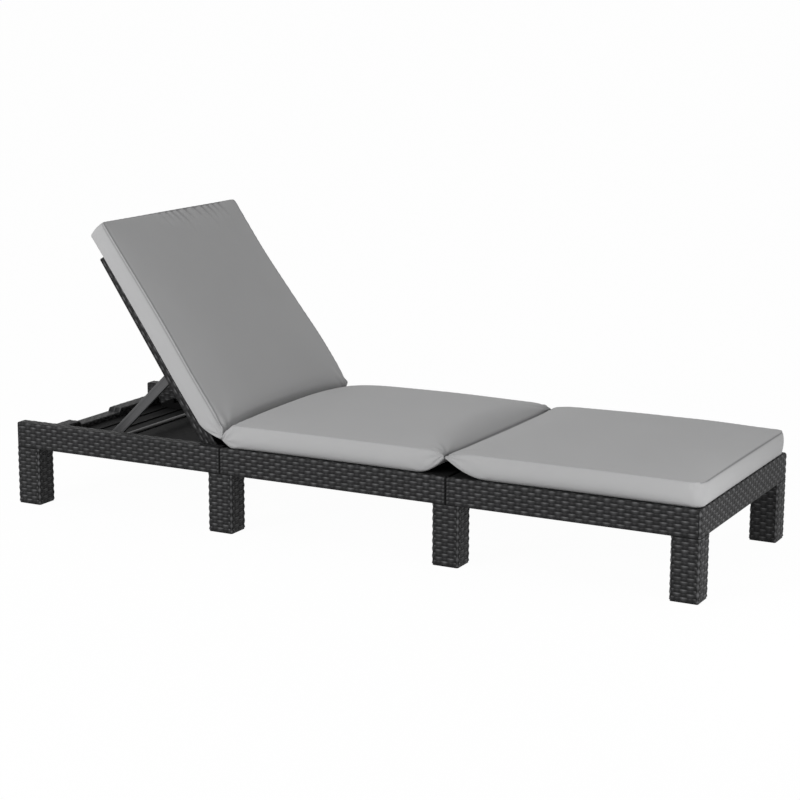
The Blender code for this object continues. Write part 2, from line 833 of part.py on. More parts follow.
def quarter_rise(distance, reach):
    """0 at the fold, rising steeply, to 1 where the taper ends."""
    t = min(max(distance / reach, 0), 1)
    return math.sqrt(1 - (1 - t) ** 2)


def smooth_rise(distance, reach):
    """0 at the fold to 1 where the taper ends, level at both."""
    t = min(max(distance / reach, 0), 1)
    return t * t * (3 - 2 * t)


class Section:
    """One section of the cushion, by the shape of its two ends along X."""

    def __init__(self, low_x, high_x, bottom, border, low_end, high_end, high_crown):
        self.low_x, self.high_x = low_x, high_x
        self.low_crown, self.high_crown = CUSHION_CROWN, high_crown
        self.bottom, self.border = bottom, border
        self.low_end, self.high_end = low_end, high_end

    def stations(self):
        """Places along X, closer together near both ends."""
        inner_low = self.low_x + self.reach(self.low_end)
        inner_high = self.high_x - self.reach(self.high_end)
        count = SECTION_STATIONS - 2 * TAPER_STATIONS
        low = [
            self.low_x + self.reach(self.low_end) * (i / TAPER_STATIONS) ** 2
            for i in range(TAPER_STATIONS)
        ]
        high = [
            self.high_x - self.reach(self.high_end) * (i / TAPER_STATIONS) ** 2
            for i in range(TAPER_STATIONS)
        ]
        middle = [inner_low + (inner_high - inner_low) * i / count for i in range(count + 1)]
        return low + middle + high[::-1]

    def reach(self, end):
        return end["taper"] if end else CUSHION_CORNER

    def profile(self, x):
        """Bottom, seam height, crown and half width of the section at x."""
        length = self.high_x - self.low_x
        bottom, seam = self.bottom, self.bottom + self.border
        along = (x - self.low_x) / length
        crown = self.low_crown + along * (self.high_crown - self.low_crown)
        half = CUSHION_HALF_WIDTH
        ends = ((self.low_end, x - self.low_x), (self.high_end, self.high_x - x))
        for end, distance in ends:
            if end:
                level = self.bottom + end["rise"]
                bottom += (1 - smooth_rise(distance, end["taper"])) * (
                    level - FOLD_THICKNESS / 2 - self.bottom
                )
                seam -= (1 - quarter_rise(distance, end["top"])) * (
                    self.bottom + self.border - level - FOLD_THICKNESS / 2
                )
                crown *= smooth_rise(distance, CROWN_FOLD_TAPERS * end["top"])
            else:
                rounded = quarter_rise(distance, CUSHION_CORNER)
                half -= (1 - rounded) * CUSHION_CORNER
                bottom += (1 - quarter_rise(distance, CUSHION_EDGE)) * CUSHION_EDGE
                crown *= quarter_rise(distance, length * CROWN_END_SHARE)
        drawn = CUSHION_DRAW * math.sin(math.pi * along)
        return bottom, seam, crown, half - drawn


def cushion_ring(x, bottom, seam, crown, half):
    """The closed outline of the cushion across its width at x."""
    height = seam - bottom
    edge = min(CUSHION_EDGE, height * EDGE_HEIGHT_SHARE)
    bulge = BORDER_BULGE * min(1, height / SEAT_BORDER)
    right = []
    for i in range(EDGE_ANGLES):
        angle = math.pi / 2 * i / EDGE_ANGLES
        right.append(
            (half - edge + edge * math.sin(angle), bottom + edge - edge * math.cos(angle))
        )
    for i in range(BORDER_STEPS + 1):
        t = i / BORDER_STEPS
        z = bottom + edge + t * (height - edge)
        right.append((half + bulge * math.sin(math.pi * t), z))
    top = []
    for i in range(1, CROWN_STEPS):
        y = half * math.cos(math.pi * i / CROWN_STEPS)
        top.append((y, seam + crown * (1 - (y / half) ** 2) ** CROWN_POWER))
    left = [(-y, z) for y, z in reversed(right)]
    return [(x, y, z) for y, z in right + top + left]


def make_cushion(name, section, material, parent=None):
    """A section skinned over its rings, with a flat cap at each end."""
    bm = bmesh.new()
    rings = []
    for x in section.stations():
        points = cushion_ring(x, *section.profile(x))
        rings.append([bm.verts.new(p) for p in points])
    for before, after in zip(rings, rings[1:]):
        count = len(before)
        for i in range(count):
            j = (i + 1) % count
            bm.faces.new((before[i], before[j], after[j], after[i]))
    bm.faces.new(rings[0])
    bm.faces.new(rings[-1])
    bmesh.ops.triangulate(bm, faces=bm.faces)
    obj = add_object(name, mesh_from(bm, name), material, parent)
    obj.data.shade_smooth()
    obj.data.set_sharp_from_angle(angle=SMOOTH_ANGLE)
    return obj


def fold(rise, taper):
    """A sewn fold: its height over the section's bottom and the length of its tapers."""
    return {"rise": rise, "taper": taper, "top": TOP_TAPER}


def make_cushions(material):
    """The seat and foot sections on the decks, and the back section on its fold axis."""
    seat = Section(
        HIP_SEAM + FOLD_CLEARANCE,
        KNEE_SEAM - FOLD_CLEARANCE / 2,
        CUSHION_BOTTOM,
        SEAT_BORDER,
        fold(HIP_FOLD_RISE, SEAT_HIP_TAPER),
        fold(KNEE_FOLD_RISE, SEAT_KNEE_TAPER),
        CUSHION_CROWN,
    )
    make_cushion("cushion_seat", seat, material)
    foot = Section(
        KNEE_SEAM + FOLD_CLEARANCE / 2,
        FOOT_END,
        CUSHION_BOTTOM,
        SEAT_BORDER,
        fold(KNEE_FOLD_RISE, FOOT_KNEE_TAPER),
        None,
        CUSHION_CROWN,
    )
    make_cushion("cushion_foot", foot, material)
    axis = make_empty("cushion_fold", FOLD_AXIS, RECLINE_ANGLE)
    back_bottom = HINGE_DEPTH + TOUCH - FOLD_REACH * math.cos(FOLD_TILT)
    fold_x = HIP_SEAM - FOLD_AXIS.x
    fold_rise = 2 * FOLD_AXIS.z - DECK_HEIGHT - HIP_FOLD_RISE - DECK_HEIGHT
    back = Section(
        -CUSHION_REACH,
        fold_x - FOLD_CLEARANCE / 2,
        back_bottom,
        BACK_BORDER,
        None,
        fold(fold_rise, BACK_HIP_TAPER),
        BACK_HIP_CROWN,
    )
    make_cushion("cushion_back", back, material, axis)


def main():
    clear_scene()
    woven = make_material("moulded_weave", (0.045, 0.045, 0.047), 0.5)
    plain = make_material("moulded_plain", (0.105, 0.105, 0.108), 0.4)
    fixing = make_material("fixing_plastic", (0.03, 0.03, 0.032), 0.45)
    cloth = make_material("cushion_cloth", (0.36, 0.36, 0.365), 0.9)
    make_decks(woven)
    make_rear_tray(woven)
    make_legs(woven)
    make_bolts(fixing)
    hinge = make_empty("backrest_hinge", HINGE, RECLINE_ANGLE)
    make_panel(hinge, woven)
    for word, side in SIDES:
        make_hinge_pin(word, side, fixing)
    make_prop(hinge, plain)
    make_racks(woven)
    make_cushions(cloth)


main()
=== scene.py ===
"""Sun lounger with cushion: woven resin skins, a smooth prop and a sewn three-part cushion.

Metres, +Z up, +X to the foot end. Every new piece is a surface of two parameters, worked
out on numpy grids and set where the frame's own nodes and joints are.
"""

import json
import math

import bpy
import numpy as np
from bpy.props import FloatProperty, FloatVectorProperty, PointerProperty
from mathutils import Matrix, Vector


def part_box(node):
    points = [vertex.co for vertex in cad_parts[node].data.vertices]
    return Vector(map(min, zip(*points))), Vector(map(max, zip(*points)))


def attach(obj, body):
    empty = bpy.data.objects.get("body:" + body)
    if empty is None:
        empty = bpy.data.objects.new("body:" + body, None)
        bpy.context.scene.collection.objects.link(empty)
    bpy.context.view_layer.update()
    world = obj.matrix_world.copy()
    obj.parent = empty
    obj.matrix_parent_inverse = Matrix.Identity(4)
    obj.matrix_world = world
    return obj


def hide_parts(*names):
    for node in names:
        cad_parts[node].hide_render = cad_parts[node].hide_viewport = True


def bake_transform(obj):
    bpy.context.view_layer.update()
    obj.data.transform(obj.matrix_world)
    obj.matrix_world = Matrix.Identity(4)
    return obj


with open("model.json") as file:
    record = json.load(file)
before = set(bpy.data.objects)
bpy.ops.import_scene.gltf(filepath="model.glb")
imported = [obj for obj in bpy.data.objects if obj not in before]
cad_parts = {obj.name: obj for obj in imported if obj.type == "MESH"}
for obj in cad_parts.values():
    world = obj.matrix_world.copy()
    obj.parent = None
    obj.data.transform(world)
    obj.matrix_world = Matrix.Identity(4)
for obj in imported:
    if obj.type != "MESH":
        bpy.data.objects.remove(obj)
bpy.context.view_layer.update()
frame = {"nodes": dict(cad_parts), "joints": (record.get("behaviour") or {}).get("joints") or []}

bl_info = {
    "name": "Sun lounger with cushion",
    "version": (1, 0, 0),
    "blender": (4, 5, 0),
    "location": "3D View > Sidebar > Lounger",
    "description": "Builds the woven skins, prop and cushion of a sun lounger round its frame",
    "category": "Add Mesh",
}

# Places read from the frame
JOINTS = {joint["name"]: joint for joint in frame["joints"]}
HINGE = Vector(JOINTS["backrest_recline"]["pos_m"])
PROP_PIVOT = Vector(JOINTS["prop_swing"]["pos_m"])
FOLD_AXIS = Vector(JOINTS["cushion_fold"]["pos_m"])
RECLINE = math.radians(-JOINTS["backrest_recline"]["range_deg"][0])
LEANED = np.array(Matrix.Rotation(RECLINE, 3, "Y"))
FOOT_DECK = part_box("foot_deck")
SEAT_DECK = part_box("seat_deck")
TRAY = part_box("rear_tray")
FOOT_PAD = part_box("cushion_foot")
SEAT_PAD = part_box("cushion_seat")
PROP_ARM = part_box("prop_arm_left")
PROP_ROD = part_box("prop_rod")
DECK_TOP = FOOT_DECK[1].z
APRON_BOTTOM = TRAY[0].z
HALF_WIDTH = FOOT_DECK[1].y
SIDES = (("left", 1), ("right", -1))
LEG_PLACES = ("foot", "knee", "hip", "rear")


def look(name):
    """The settings group of that name."""
    return getattr(bpy.context.scene, f"lounger_{name}")


def number(name, description, default, **kind):
    """A setting of one number, with a unit or subtype where one fits."""
    return FloatProperty(name=name, description=description, default=default, **kind)


def length(name, description, default):
    return number(name, description, default, unit="LENGTH", precision=4)


def share(name, description, default):
    return number(name, description, default, subtype="FACTOR")


def angle(name, description, degrees):
    return number(name, description, math.radians(degrees), unit="ROTATION", precision=4)


def colour(name, description, default):
    return FloatVectorProperty(
        name=name, description=description, default=default, size=3, subtype="COLOR", min=0, max=1
    )


class WeaveSettings(bpy.types.PropertyGroup):
    """Sizes and colours of the woven resin skins."""

    row_pitch: length("Row pitch", "From one weaver row to the next", 0.0095)
    stake_pitch: length("Stake pitch", "From one stake to the next", 0.0178)
    rise: length("Weaver rise", "How far a weaver rises over a stake", 0.0011)
    rounding: length("Weaver rounding", "How far a weaver falls off at its edges", 0.0009)
    depth: length("Relief depth", "From the deepest gap to the highest weaver", 0.0031)
    gap: length("Skin gap", "From the frame's face to the deepest gap", 0.0002)
    panel_depth: length("Panel relief depth", "The relief on the backrest's skirt", 0.0013)
    rail_depth: length("Rail relief depth", "The relief on the tops of the rails", 0.0016)
    back: length("Skin back", "How deep the skin reaches into the frame's wall", 0.0015)
    edge: length("Edge radius", "Radius of the skins' rounded edges", 0.0039)
    bead: length("Corner bead", "Width of the bead on upright corners", 0.0050)
    # Painted light: the crest colour carries the painted highlights, the gap colour the painted
    # shade between the weavers
    crest_highlight: colour("Crest colour", "Colour on top of the weavers", (0.112, 0.112, 0.115))
    gap_shade: colour("Gap colour", "Colour between the weavers", (0.0050, 0.0050, 0.0052))
    roughness: share("Roughness", "Roughness of the woven resin", 0.46)


class ResinSettings(bpy.types.PropertyGroup):
    """Colours of the plain resin pieces."""

    # The deck and tray colours are one resin in two copies: the deck's paler as painted light for
    # the shade under the cushion's fold, the tray's darker as painted shade in its basin
    deck: colour("Deck colour", "Colour of the decks, panel and legs", (0.016, 0.016, 0.0163))
    tray: colour("Tray colour", "Colour of the tray and its racks", (0.0055, 0.0055, 0.0057))
    smooth: colour("Prop colour", "Colour of the prop's arms and rod", (0.070, 0.070, 0.072))
    fixing: colour("Fixing colour", "Colour of bolts, nuts and pins", (0.020, 0.020, 0.021))
    channel: length("Arm channel", "Depth of the channel in a prop arm", 0.0009)
    arm_edge: length("Arm edge", "Radius of a prop arm's edges", 0.0018)


class CushionSettings(bpy.types.PropertyGroup):
    """Sizes and colours of the cushion."""

    seat_border: length("Seat border", "Height of the seat's and foot's borders", 0.062)
    back_border: length("Back border", "Height of the back's border", 0.062)
    head_border: length("Head border", "How much lower the back's border is at its head", 0.006)
    crown: length("Crown", "Rise of a section's middle over its seams", 0.019)
    hip_crown: length("Hip crown", "Rise of the back's middle beside the hip", 0.026)
    grid: length("Cloth grid", "Spacing of the cloth's mesh", 0.0085)
    swell: length("Swell limit", "How far the simulated cloth may move", 0.0045)
    pressure: number("Pressure", "Pressure inside the simulated cover", 4.0)
    seam_depth: length("Seam depth", "Depth of the groove along a seam", 0.0016)
    pucker: length("Pucker", "Depth of the small puckers along the seams", 0.0006)
    gather: length("Gather", "Depth of the gathers under the back's top seam", 0.0060)
    thread: length("Thread pitch", "Spacing of the cloth's threads", 0.0009)
    cloth: colour("Cloth colour", "Colour of the cover's cloth", (0.355, 0.355, 0.358))
    # Painted shade: the seam colour laid in the seams' grooves, along the sewn folds and in the
    # back's gathers
    seam: colour("Seam colour", "Colour in the seams", (0.110, 0.110, 0.112))


class StageSettings(bpy.types.PropertyGroup):
    """Camera, floor and lights."""

    camera: FloatVectorProperty(
        name="Camera place",
        description="Where the camera stands",
        default=(2.4434, -4.6164, 1.427),
        size=3,
        subtype="TRANSLATION",
        precision=4,
    )
    yaw: angle("Camera yaw", "Turn of the view from the Y axis", 27.6129)
    pitch: angle("Camera pitch", "Tilt of the view below level", 11.9095)
    roll: angle("Camera roll", "Roll of the camera about its view", 0.2184)
    lens: number("Lens", "Focal length on a 36 mm sensor", 91.0652, unit="CAMERA")
    key: number("Key power", "Power of the main light", 145.0, unit="POWER")
    fill: number("Fill power", "Power of the fill light", 7.2, unit="POWER")
    ambient: share("Ambient", "Strength of the surroundings' light", 0.585)


# Shader arithmetic


class Wire:
    """A node's output that takes part in arithmetic, where each operator adds a Math node."""

    def __init__(self, graph, socket):
        self.graph = graph
        self.socket = socket

    def __add__(self, other):
        return self.graph.maths("ADD", self, other)

    def __sub__(self, other):
        return self.graph.maths("SUBTRACT", self, other)

    def __rsub__(self, other):
        return self.graph.maths("SUBTRACT", other, self)

    def __mul__(self, other):
        return self.graph.maths("MULTIPLY", self, other)

    def __pow__(self, other):
        return self.graph.maths("POWER", self, other)

    __radd__ = __add__
    __rmul__ = __mul__


class Graph:
    """One node tree, with one method that adds any node."""

    def __init__(self, tree):
        self.tree = tree

    def node(self, kind, settings=None, sockets=None, output=0):
        """Adds a node, sets its settings and then its sockets, and returns one output."""
        node = self.tree.nodes.new(kind)
        for name, value in (settings or {}).items():
            setattr(node, name, value)
        for name, value in (sockets or {}).items():
            self.join(value, node.inputs[name])
        return Wire(self, node.outputs[output])

    def join(self, value, socket):
        """Links an output to a socket, or sets the socket to a value."""
        if isinstance(value, Wire):
            self.tree.links.new(value.socket, socket)
        else:
            socket.default_value = value

    def maths(self, operation, first, second):
        settings = {"operation": operation}
        return self.node("ShaderNodeMath", settings, {0: first, 1: second})

    def blend(self, factor, first, second):
        """A colour between two colours."""
        settings = {"data_type": "RGBA"}
        return self.node("ShaderNodeMix", settings, {0: factor, 6: first, 7: second}, 2)

    def stretched(self, coordinates, scale):
        settings = {"operation": "MULTIPLY"}
        return self.node("ShaderNodeVectorMath", settings, {0: coordinates, 1: scale})

    def noise(self, coordinates, scale, detail=2.0):
        sockets = {"Vector": coordinates, "Scale": scale, "Detail": detail}
        return self.node("ShaderNodeTexNoise", None, sockets)

    def wave(self, coordinates, direction, scale):
        settings = {"wave_type": "BANDS", "bands_direction": direction}
        return self.node("ShaderNodeTexWave", settings, {"Vector": coordinates, "Scale": scale})

    def attribute(self, name):
        return self.node("ShaderNodeAttribute", {"attribute_name": name}, None, 2)

    def object_place(self):
        return self.node("ShaderNodeTexCoord", None, None, 3)

    def flat_place(self, name):
        return self.node("ShaderNodeUVMap", {"uv_map": name})

    def bump(self, height, distance):
        return self.node("ShaderNodeBump", None, {"Height": height, "Distance": distance})


def opaque(rgb):
    return (rgb[0], rgb[1], rgb[2], 1)


def new_material(name):
    """A material, the graph of its nodes and its shader's sockets."""
    material = bpy.data.materials.new(name)
    material.use_nodes = True
    tree = material.node_tree
    return material, Graph(tree), tree.nodes["Principled BSDF"].inputs


# Cells of noise per metre, heights of bumps and strengths of reflections in the finishes
UNEVEN_CELLS = 75.0
DRAWN_CELLS = (55.0, 1500.0, 1.0)
CLOUD_CELLS, WORN_CELLS, GRAIN_CELLS = 11.0, 85.0, 900.0
YARN_CELLS = (420.0, 900.0, 1.0)
FADED_CELLS = 7.0
STRAND_BUMP, GRAIN_BUMP = 0.00012, 0.00008
WOVEN_SHINE, DULL_SHINE, PLAIN_SHINE = 0.10, 0.03, 0.3
DULL, SATIN, WORN_SATIN = 0.60, 0.42, 0.45
# How far noise, relief and threads change the tones and the roughness
FINE_DETAIL = 3.0
STRAND_TONE, STRAND_MOTTLE = 0.20, 1.60
DRAWN_ROUGH, CREST_POLISH = 0.16, 0.05
RESIN_DARK_SHARE = 0.78
RESIN_POLISH, RESIN_WEAR = 0.08, 0.16
CLOTH_PALE_SHARE, CLOTH_DARK_SHARE = 1.07, 0.88
THREAD_TONE, YARN_TONE, FADED_TONE = 0.25, 0.45, 0.30
SEAM_POWER = 2.0
CLOTH_ROUGH, YARN_ROUGH = 0.84, 0.12
CLOTH_SHEEN, SHEEN_ROUGH = 0.12, 0.5
YARN_BUMP_SHARE = 0.6


def woven_material(weave):
    """Woven resin: painted highlights on the crests and the weavers' upper edges, painted shade in
    the gaps, drawn along the strands.
    """
    material, graph, shader = new_material("strand_resin")
    relief = graph.attribute("relief")
    place = graph.flat_place("strands")
    uneven = graph.noise(graph.object_place(), UNEVEN_CELLS, FINE_DETAIL)
    # The tone attribute is painted light: painted shade in the gaps, painted highlights on crests,
    # upper edges and beads, mottled at random
    tone = graph.attribute("tone") * (STRAND_TONE + STRAND_MOTTLE * uneven)
    graph.join(graph.blend(tone, opaque(weave.gap_shade), opaque(weave.crest_highlight)), shader["Base Color"])
    drawn = graph.noise(graph.stretched(place, DRAWN_CELLS), 1.0)
    rough = weave.roughness + DRAWN_ROUGH * drawn - CREST_POLISH * relief
    graph.join(rough, shader["Roughness"])
    graph.join(graph.bump(drawn, STRAND_BUMP), shader["Normal"])
    shader["Specular IOR Level"].default_value = WOVEN_SHINE
    return material


def moulded_material(name, rgb, roughness, shine):
    """Plain moulded resin with a fine grain and a little unevenness."""
    material, graph, shader = new_material(name)
    place = graph.object_place()
    cloudy = graph.noise(place, CLOUD_CELLS)
    worn = graph.noise(place, WORN_CELLS, FINE_DETAIL)
    dark = tuple(RESIN_DARK_SHARE * c for c in rgb)
    graph.join(graph.blend(cloudy, opaque(dark), opaque(rgb)), shader["Base Color"])
    graph.join(roughness - RESIN_POLISH + RESIN_WEAR * worn, shader["Roughness"])
    graph.join(graph.bump(graph.noise(place, GRAIN_CELLS), GRAIN_BUMP), shader["Normal"])
    shader["Specular IOR Level"].default_value = shine
    return material


def cloth_material(cushion):
    """Woven polyester: crossing threads, mottled yarn, and painted shade along each seam, sewn fold
    and gather.
    """
    material, graph, shader = new_material("cover_cloth")
    place = graph.flat_place("cloth")
    turns = math.pi / (10 * cushion.thread)
    weft = graph.wave(place, "X", turns)
    warp = graph.wave(place, "Y", turns)
    threads = weft * 0.5 + warp * 0.5
    mottled = graph.noise(graph.stretched(place, YARN_CELLS), 1.0)
    cloudy = graph.noise(graph.object_place(), FADED_CELLS)
    pale = tuple(CLOTH_PALE_SHARE * c for c in cushion.cloth)
    dark = tuple(CLOTH_DARK_SHARE * c for c in cushion.cloth)
    tone = THREAD_TONE * threads + YARN_TONE * mottled + FADED_TONE * cloudy
    yarn = graph.blend(tone, opaque(dark), opaque(pale))
    # Painted shade: the seam colour laid over the yarn in the seams, folds and gathers
    seam = graph.attribute("seam") ** SEAM_POWER
    graph.join(graph.blend(seam, yarn, opaque(cushion.seam)), shader["Base Color"])
    graph.join(CLOTH_ROUGH + YARN_ROUGH * mottled, shader["Roughness"])
    shader["Sheen Weight"].default_value = CLOTH_SHEEN
    shader["Sheen Roughness"].default_value = SHEEN_ROUGH
    relief = threads + YARN_BUMP_SHARE * mottled
    graph.join(graph.bump(relief, STRAND_BUMP), shader["Normal"])
    return material


def material_of(name, make, *settings):
    """The material of that name, made on its first use."""
    return bpy.data.materials.get(name) or make(*settings)


# Meshes from arrays

NEAR = 1e-9


def smooth_step(t):
    """0 below 0, 1 above 1, and level at both."""
    t = np.clip(t, 0, 1)
    return t * t * (3 - 2 * t)


def quarter_rise(t):
    """0 at 0, rising steeply at first, to 1 at 1: a quarter of a circle."""
    return np.sqrt(1 - (1 - np.clip(t, 0, 1)) ** 2)


def signed_volume(points, quads):
    """Positive where the quads' faces point outwards: a sum of signed wedges to the middle."""
    a, b, c, d = (points[quads[:, i]] - points.mean(0) for i in range(4))
    return np.einsum("ij,ij->", a, np.cross(b, c)) + np.einsum("ij,ij->", a, np.cross(c, d))


def build_piece(name, points, quads, caps, flat, uv_name, values):
    """One closed mesh object from arrays of points, quads and flat end polygons."""
    if signed_volume(points, quads) < 0:
        quads = quads[:, ::-1]
        caps = [cap[::-1] for cap in caps]
        flat = None if flat is None else flat[:, ::-1]
    mesh = bpy.data.meshes.new(name)
    mesh.vertices.add(len(points))
    mesh.vertices.foreach_set("co", np.asarray(points, np.float32).ravel())
    loops = np.concatenate([quads.ravel(), *caps]).astype(np.int32)
    sizes = np.array([4] * len(quads) + [len(cap) for cap in caps])
    starts = np.concatenate([[0], np.cumsum(sizes)[:-1]]).astype(np.int32)
    mesh.loops.add(len(loops))
    mesh.loops.foreach_set("vertex_index", loops)
    mesh.polygons.add(len(sizes))
    mesh.polygons.foreach_set("loop_start", starts)
    mesh.update(calc_edges=True)
    if flat is not None:
        layer = mesh.uv_layers.new(name=uv_name)
        spread = np.zeros((len(loops), 2), np.float32)
        spread[: flat.size // 2] = flat.reshape(-1, 2)
        layer.data.foreach_set("uv", spread.ravel())
    for key, value in values.items():
        layer = mesh.attributes.new(key, "FLOAT", "POINT")
        layer.data.foreach_set("value", np.asarray(value, np.float32).ravel())
    mesh.shade_smooth()
    piece = bpy.data.objects.new(name, mesh)
    bpy.context.scene.collection.objects.link(piece)
    return piece


def grid_quads(rows, columns, closed_rows):
    """Quads over a grid whose columns close on themselves, and their unwrapped indices."""
    last = rows if closed_rows else rows - 1
    i, j = np.meshgrid(np.arange(last), np.arange(columns), indexing="ij")
    step_i = np.stack((i, i + 1, i + 1, i), -1).reshape(-1, 4)
    step_j = np.stack((j, j, j + 1, j + 1), -1).reshape(-1, 4)
    return (step_i % rows) * columns + step_j % columns, step_i, step_j


def ring_piece(name, rings, closed=False, along=None, around=None, values=None, uv_name="strands"):
    """Closed rings joined in order, with flat ends unless the last ring joins the first."""
    rows, columns = rings.shape[:2]
    quads, step_i, step_j = grid_quads(rows, columns, closed)
    flat = None
    if along is not None:
        reach = np.append(along, along[-1] + along[1] - along[0])
        girth = np.append(around, around[-1])
        flat = np.stack((reach[step_i], girth[step_j]), -1)
    caps = []
    if not closed:
        caps = [np.arange(columns)[::-1], np.arange(columns) + (rows - 1) * columns]
    return build_piece(name, rings.reshape(-1, 3), quads, caps, flat, uv_name, values or {})


def dress(piece, material, body, slot, *nodes):
    """Gives a piece its material and body, and hides the frame's nodes that it stands for; its slot
    is not used.
    """
    piece.data.materials.append(material)
    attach(piece, body)
    if nodes:
        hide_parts(*nodes)
    return piece


# Woven skins


def walk(distance, runs, radius):
    """Place and outward direction after a distance along runs joined by quarter turns.

    The path starts at (0, 0) towards the second axis with its outside at the first. After
    each run it turns a quarter circle inwards.
    """
    place = np.zeros((len(distance), 2))
    out = np.zeros((len(distance), 2))
    start, travelled = np.zeros(2), 0.0
    for i, run in enumerate(runs):
        turn = i * math.pi / 2
        forward = np.array([-math.sin(turn), math.cos(turn)])
        side = np.array([math.cos(turn), math.sin(turn)])
        here = (distance >= travelled - NEAR) | (i == 0)
        local = np.minimum(distance - travelled, run)[:, None]
        place[here] = (start + forward * local)[here]
        out[here] = side
        start = start + forward * run
        travelled += run
        curved = distance > travelled
        bend = np.minimum((distance - travelled) / radius, math.pi / 2)[:, None]
        ray = side * np.cos(bend) + forward * np.sin(bend)
        place[curved] = (start - side * radius + radius * ray)[curved]
        out[curved] = ray[curved]
        start = start + (forward - side) * radius
        travelled += radius * math.pi / 2
    return place, out


def turn_middles(runs, radius, turns):
    """Distances of the middles of the turns along a path."""
    quarter = radius * math.pi / 2
    return [sum(runs[: i + 1]) + quarter * (i + 0.5) for i in range(turns)]


STEPS_PER_STAKE = 8
ROW_SHARES = (0.03, 0.16, 0.38, 0.62, 0.84, 0.97)
WEAVER_SPREAD = 1.96
STAKE_HALF_SHARE = 0.30
STAKE_DROP_SHARE = 0.8
BEAD_STEP_SHARES = (-0.75, -0.62, -0.52, -0.42, -0.22, 0.0, 0.22, 0.42, 0.52, 0.62, 0.75)
BEAD_LEVEL_SHARE, BEAD_LUMP_SHARE, BEAD_FALL_SHARE = 0.25, 0.7, 1.2
GROOVE_REACH_SHARE, GROOVE_DEPTH_SHARE = 1.35, 1.2
PLAIN_DEPTH_SHARE = 0.9
ROUNDING_SEEN_SHARE = 0.8
# Painted light on the weave: its share on a bead and on a weaver's lower part, and where the upper
# edge's painted highlight starts and how wide it is
BEAD_HIGHLIGHT, LOWER_PART_SHADE = 0.85, 0.22
UPPER_EDGE_START, UPPER_EDGE_WIDTH = 0.55, 0.30
PLAIN_END, DOTTED_END = 0.0030, 0.0045
POST_END = 0.002
END_STEP = 0.0005
LAST_STEP, CLOSING_STEP = 0.0004, 0.0001
RIM_MARGIN, PANEL_MARGIN, LEG_MARGIN = 0.0015, 0.001, 0.004
RIM_SHARE = 0.9


def relief_of(stake, row, weave):
    """Height of a plain weave over its mean: the higher of a weaver and a stake.

    In row j a weaver lies at the cosine of pi (stake + j) and falls off as a circle towards
    its edges. A stake lies at minus that cosine, a little lower, and is rounded across.
    """
    whole = np.floor(row)
    across = row - whole - 0.5
    weaver = weave.rise * np.cos(np.pi * (stake + whole))
    weaver = weaver + weave.rounding * (np.sqrt(1 - (WEAVER_SPREAD * across) ** 2) - 1)
    nearest = np.round(stake)
    aside = (stake - nearest) / STAKE_HALF_SHARE
    upright = -weave.rise * (np.cos(np.pi * (nearest + row - 0.5)) + STAKE_DROP_SHARE)
    upright = upright + weave.rounding * (np.sqrt(np.clip(1 - aside**2, 0, 1)) - 1)
    low = -weave.rise - weave.rounding
    return np.maximum(weaver, np.where(abs(aside) < 1, upright, low))


class Strip:
    """The run of a skin along the frame: distances, stake numbers, corners and ends."""

    def __init__(self, runs, weave, closed=False, plain=0.0, dots=0.0):
        turns = len(runs) - 1 + closed
        total = sum(runs) + weave.edge * math.pi / 2 * turns
        middles = turn_middles(runs, weave.edge, turns)
        knots = middles + [middles[0] + total] if closed else [0.0, *middles, total]
        counts = [max(1, round((b - a) / weave.stake_pitch)) for a, b in zip(knots, knots[1:])]
        numbers = np.concatenate([[0], np.cumsum(counts)])
        stakes = np.arange(numbers[-1] * STEPS_PER_STAKE + 1 - closed) / STEPS_PER_STAKE
        marks = [m + weave.bead * s for m in middles for s in BEAD_STEP_SHARES]
        if closed:
            marks = [m for m in marks if m < knots[-1] - CLOSING_STEP]
        if plain:
            ends = [end + step for end in (plain, plain + dots) for step in (-END_STEP, END_STEP)]
            marks += ends + [total - end for end in ends]
        distance = np.concatenate([np.interp(stakes, numbers, knots), marks])
        self.distance = np.unique(np.round(distance, 6))
        self.stake = np.interp(self.distance, knots, numbers)
        once = self.distance % total if closed else self.distance
        self.place, self.out = walk(once, runs, weave.edge)
        corners = middles + knots[-1:] * closed
        endless = np.full(len(once), np.inf)
        self.from_corner = np.minimum.reduce([endless, *(abs(self.distance - c) for c in corners)])
        self.from_end = endless if closed else np.minimum(once, total - once)
        self.closed, self.plain, self.dots = closed, plain, dots


class Face:
    """The profile of a skin across its width: distances, row numbers, places and normals."""

    def __init__(self, runs, weave, margin=RIM_MARGIN, tail=0.0):
        turns = len(runs) - 1
        total = sum(runs) + weave.edge * math.pi / 2 * turns - tail
        rows = int((total - margin) / weave.row_pitch)
        row = (np.arange(rows + 1)[:, None] + np.array(ROW_SHARES)).ravel()
        distance = margin + row * weave.row_pitch
        distance = distance[distance < total - LAST_STEP]
        self.distance = np.concatenate([[0.0, margin * RIM_SHARE], distance, [total]])
        self.row = (self.distance - margin) / weave.row_pitch
        self.place, self.out = walk(self.distance, runs, weave.edge)
        self.plain = self.distance < margin
        middles = turn_middles(runs, weave.edge, turns)
        self.back_distance = np.array([total, *middles[::-1], 0.0])
        places, outs = walk(self.back_distance, runs, weave.edge)
        self.back = places - outs * weave.back


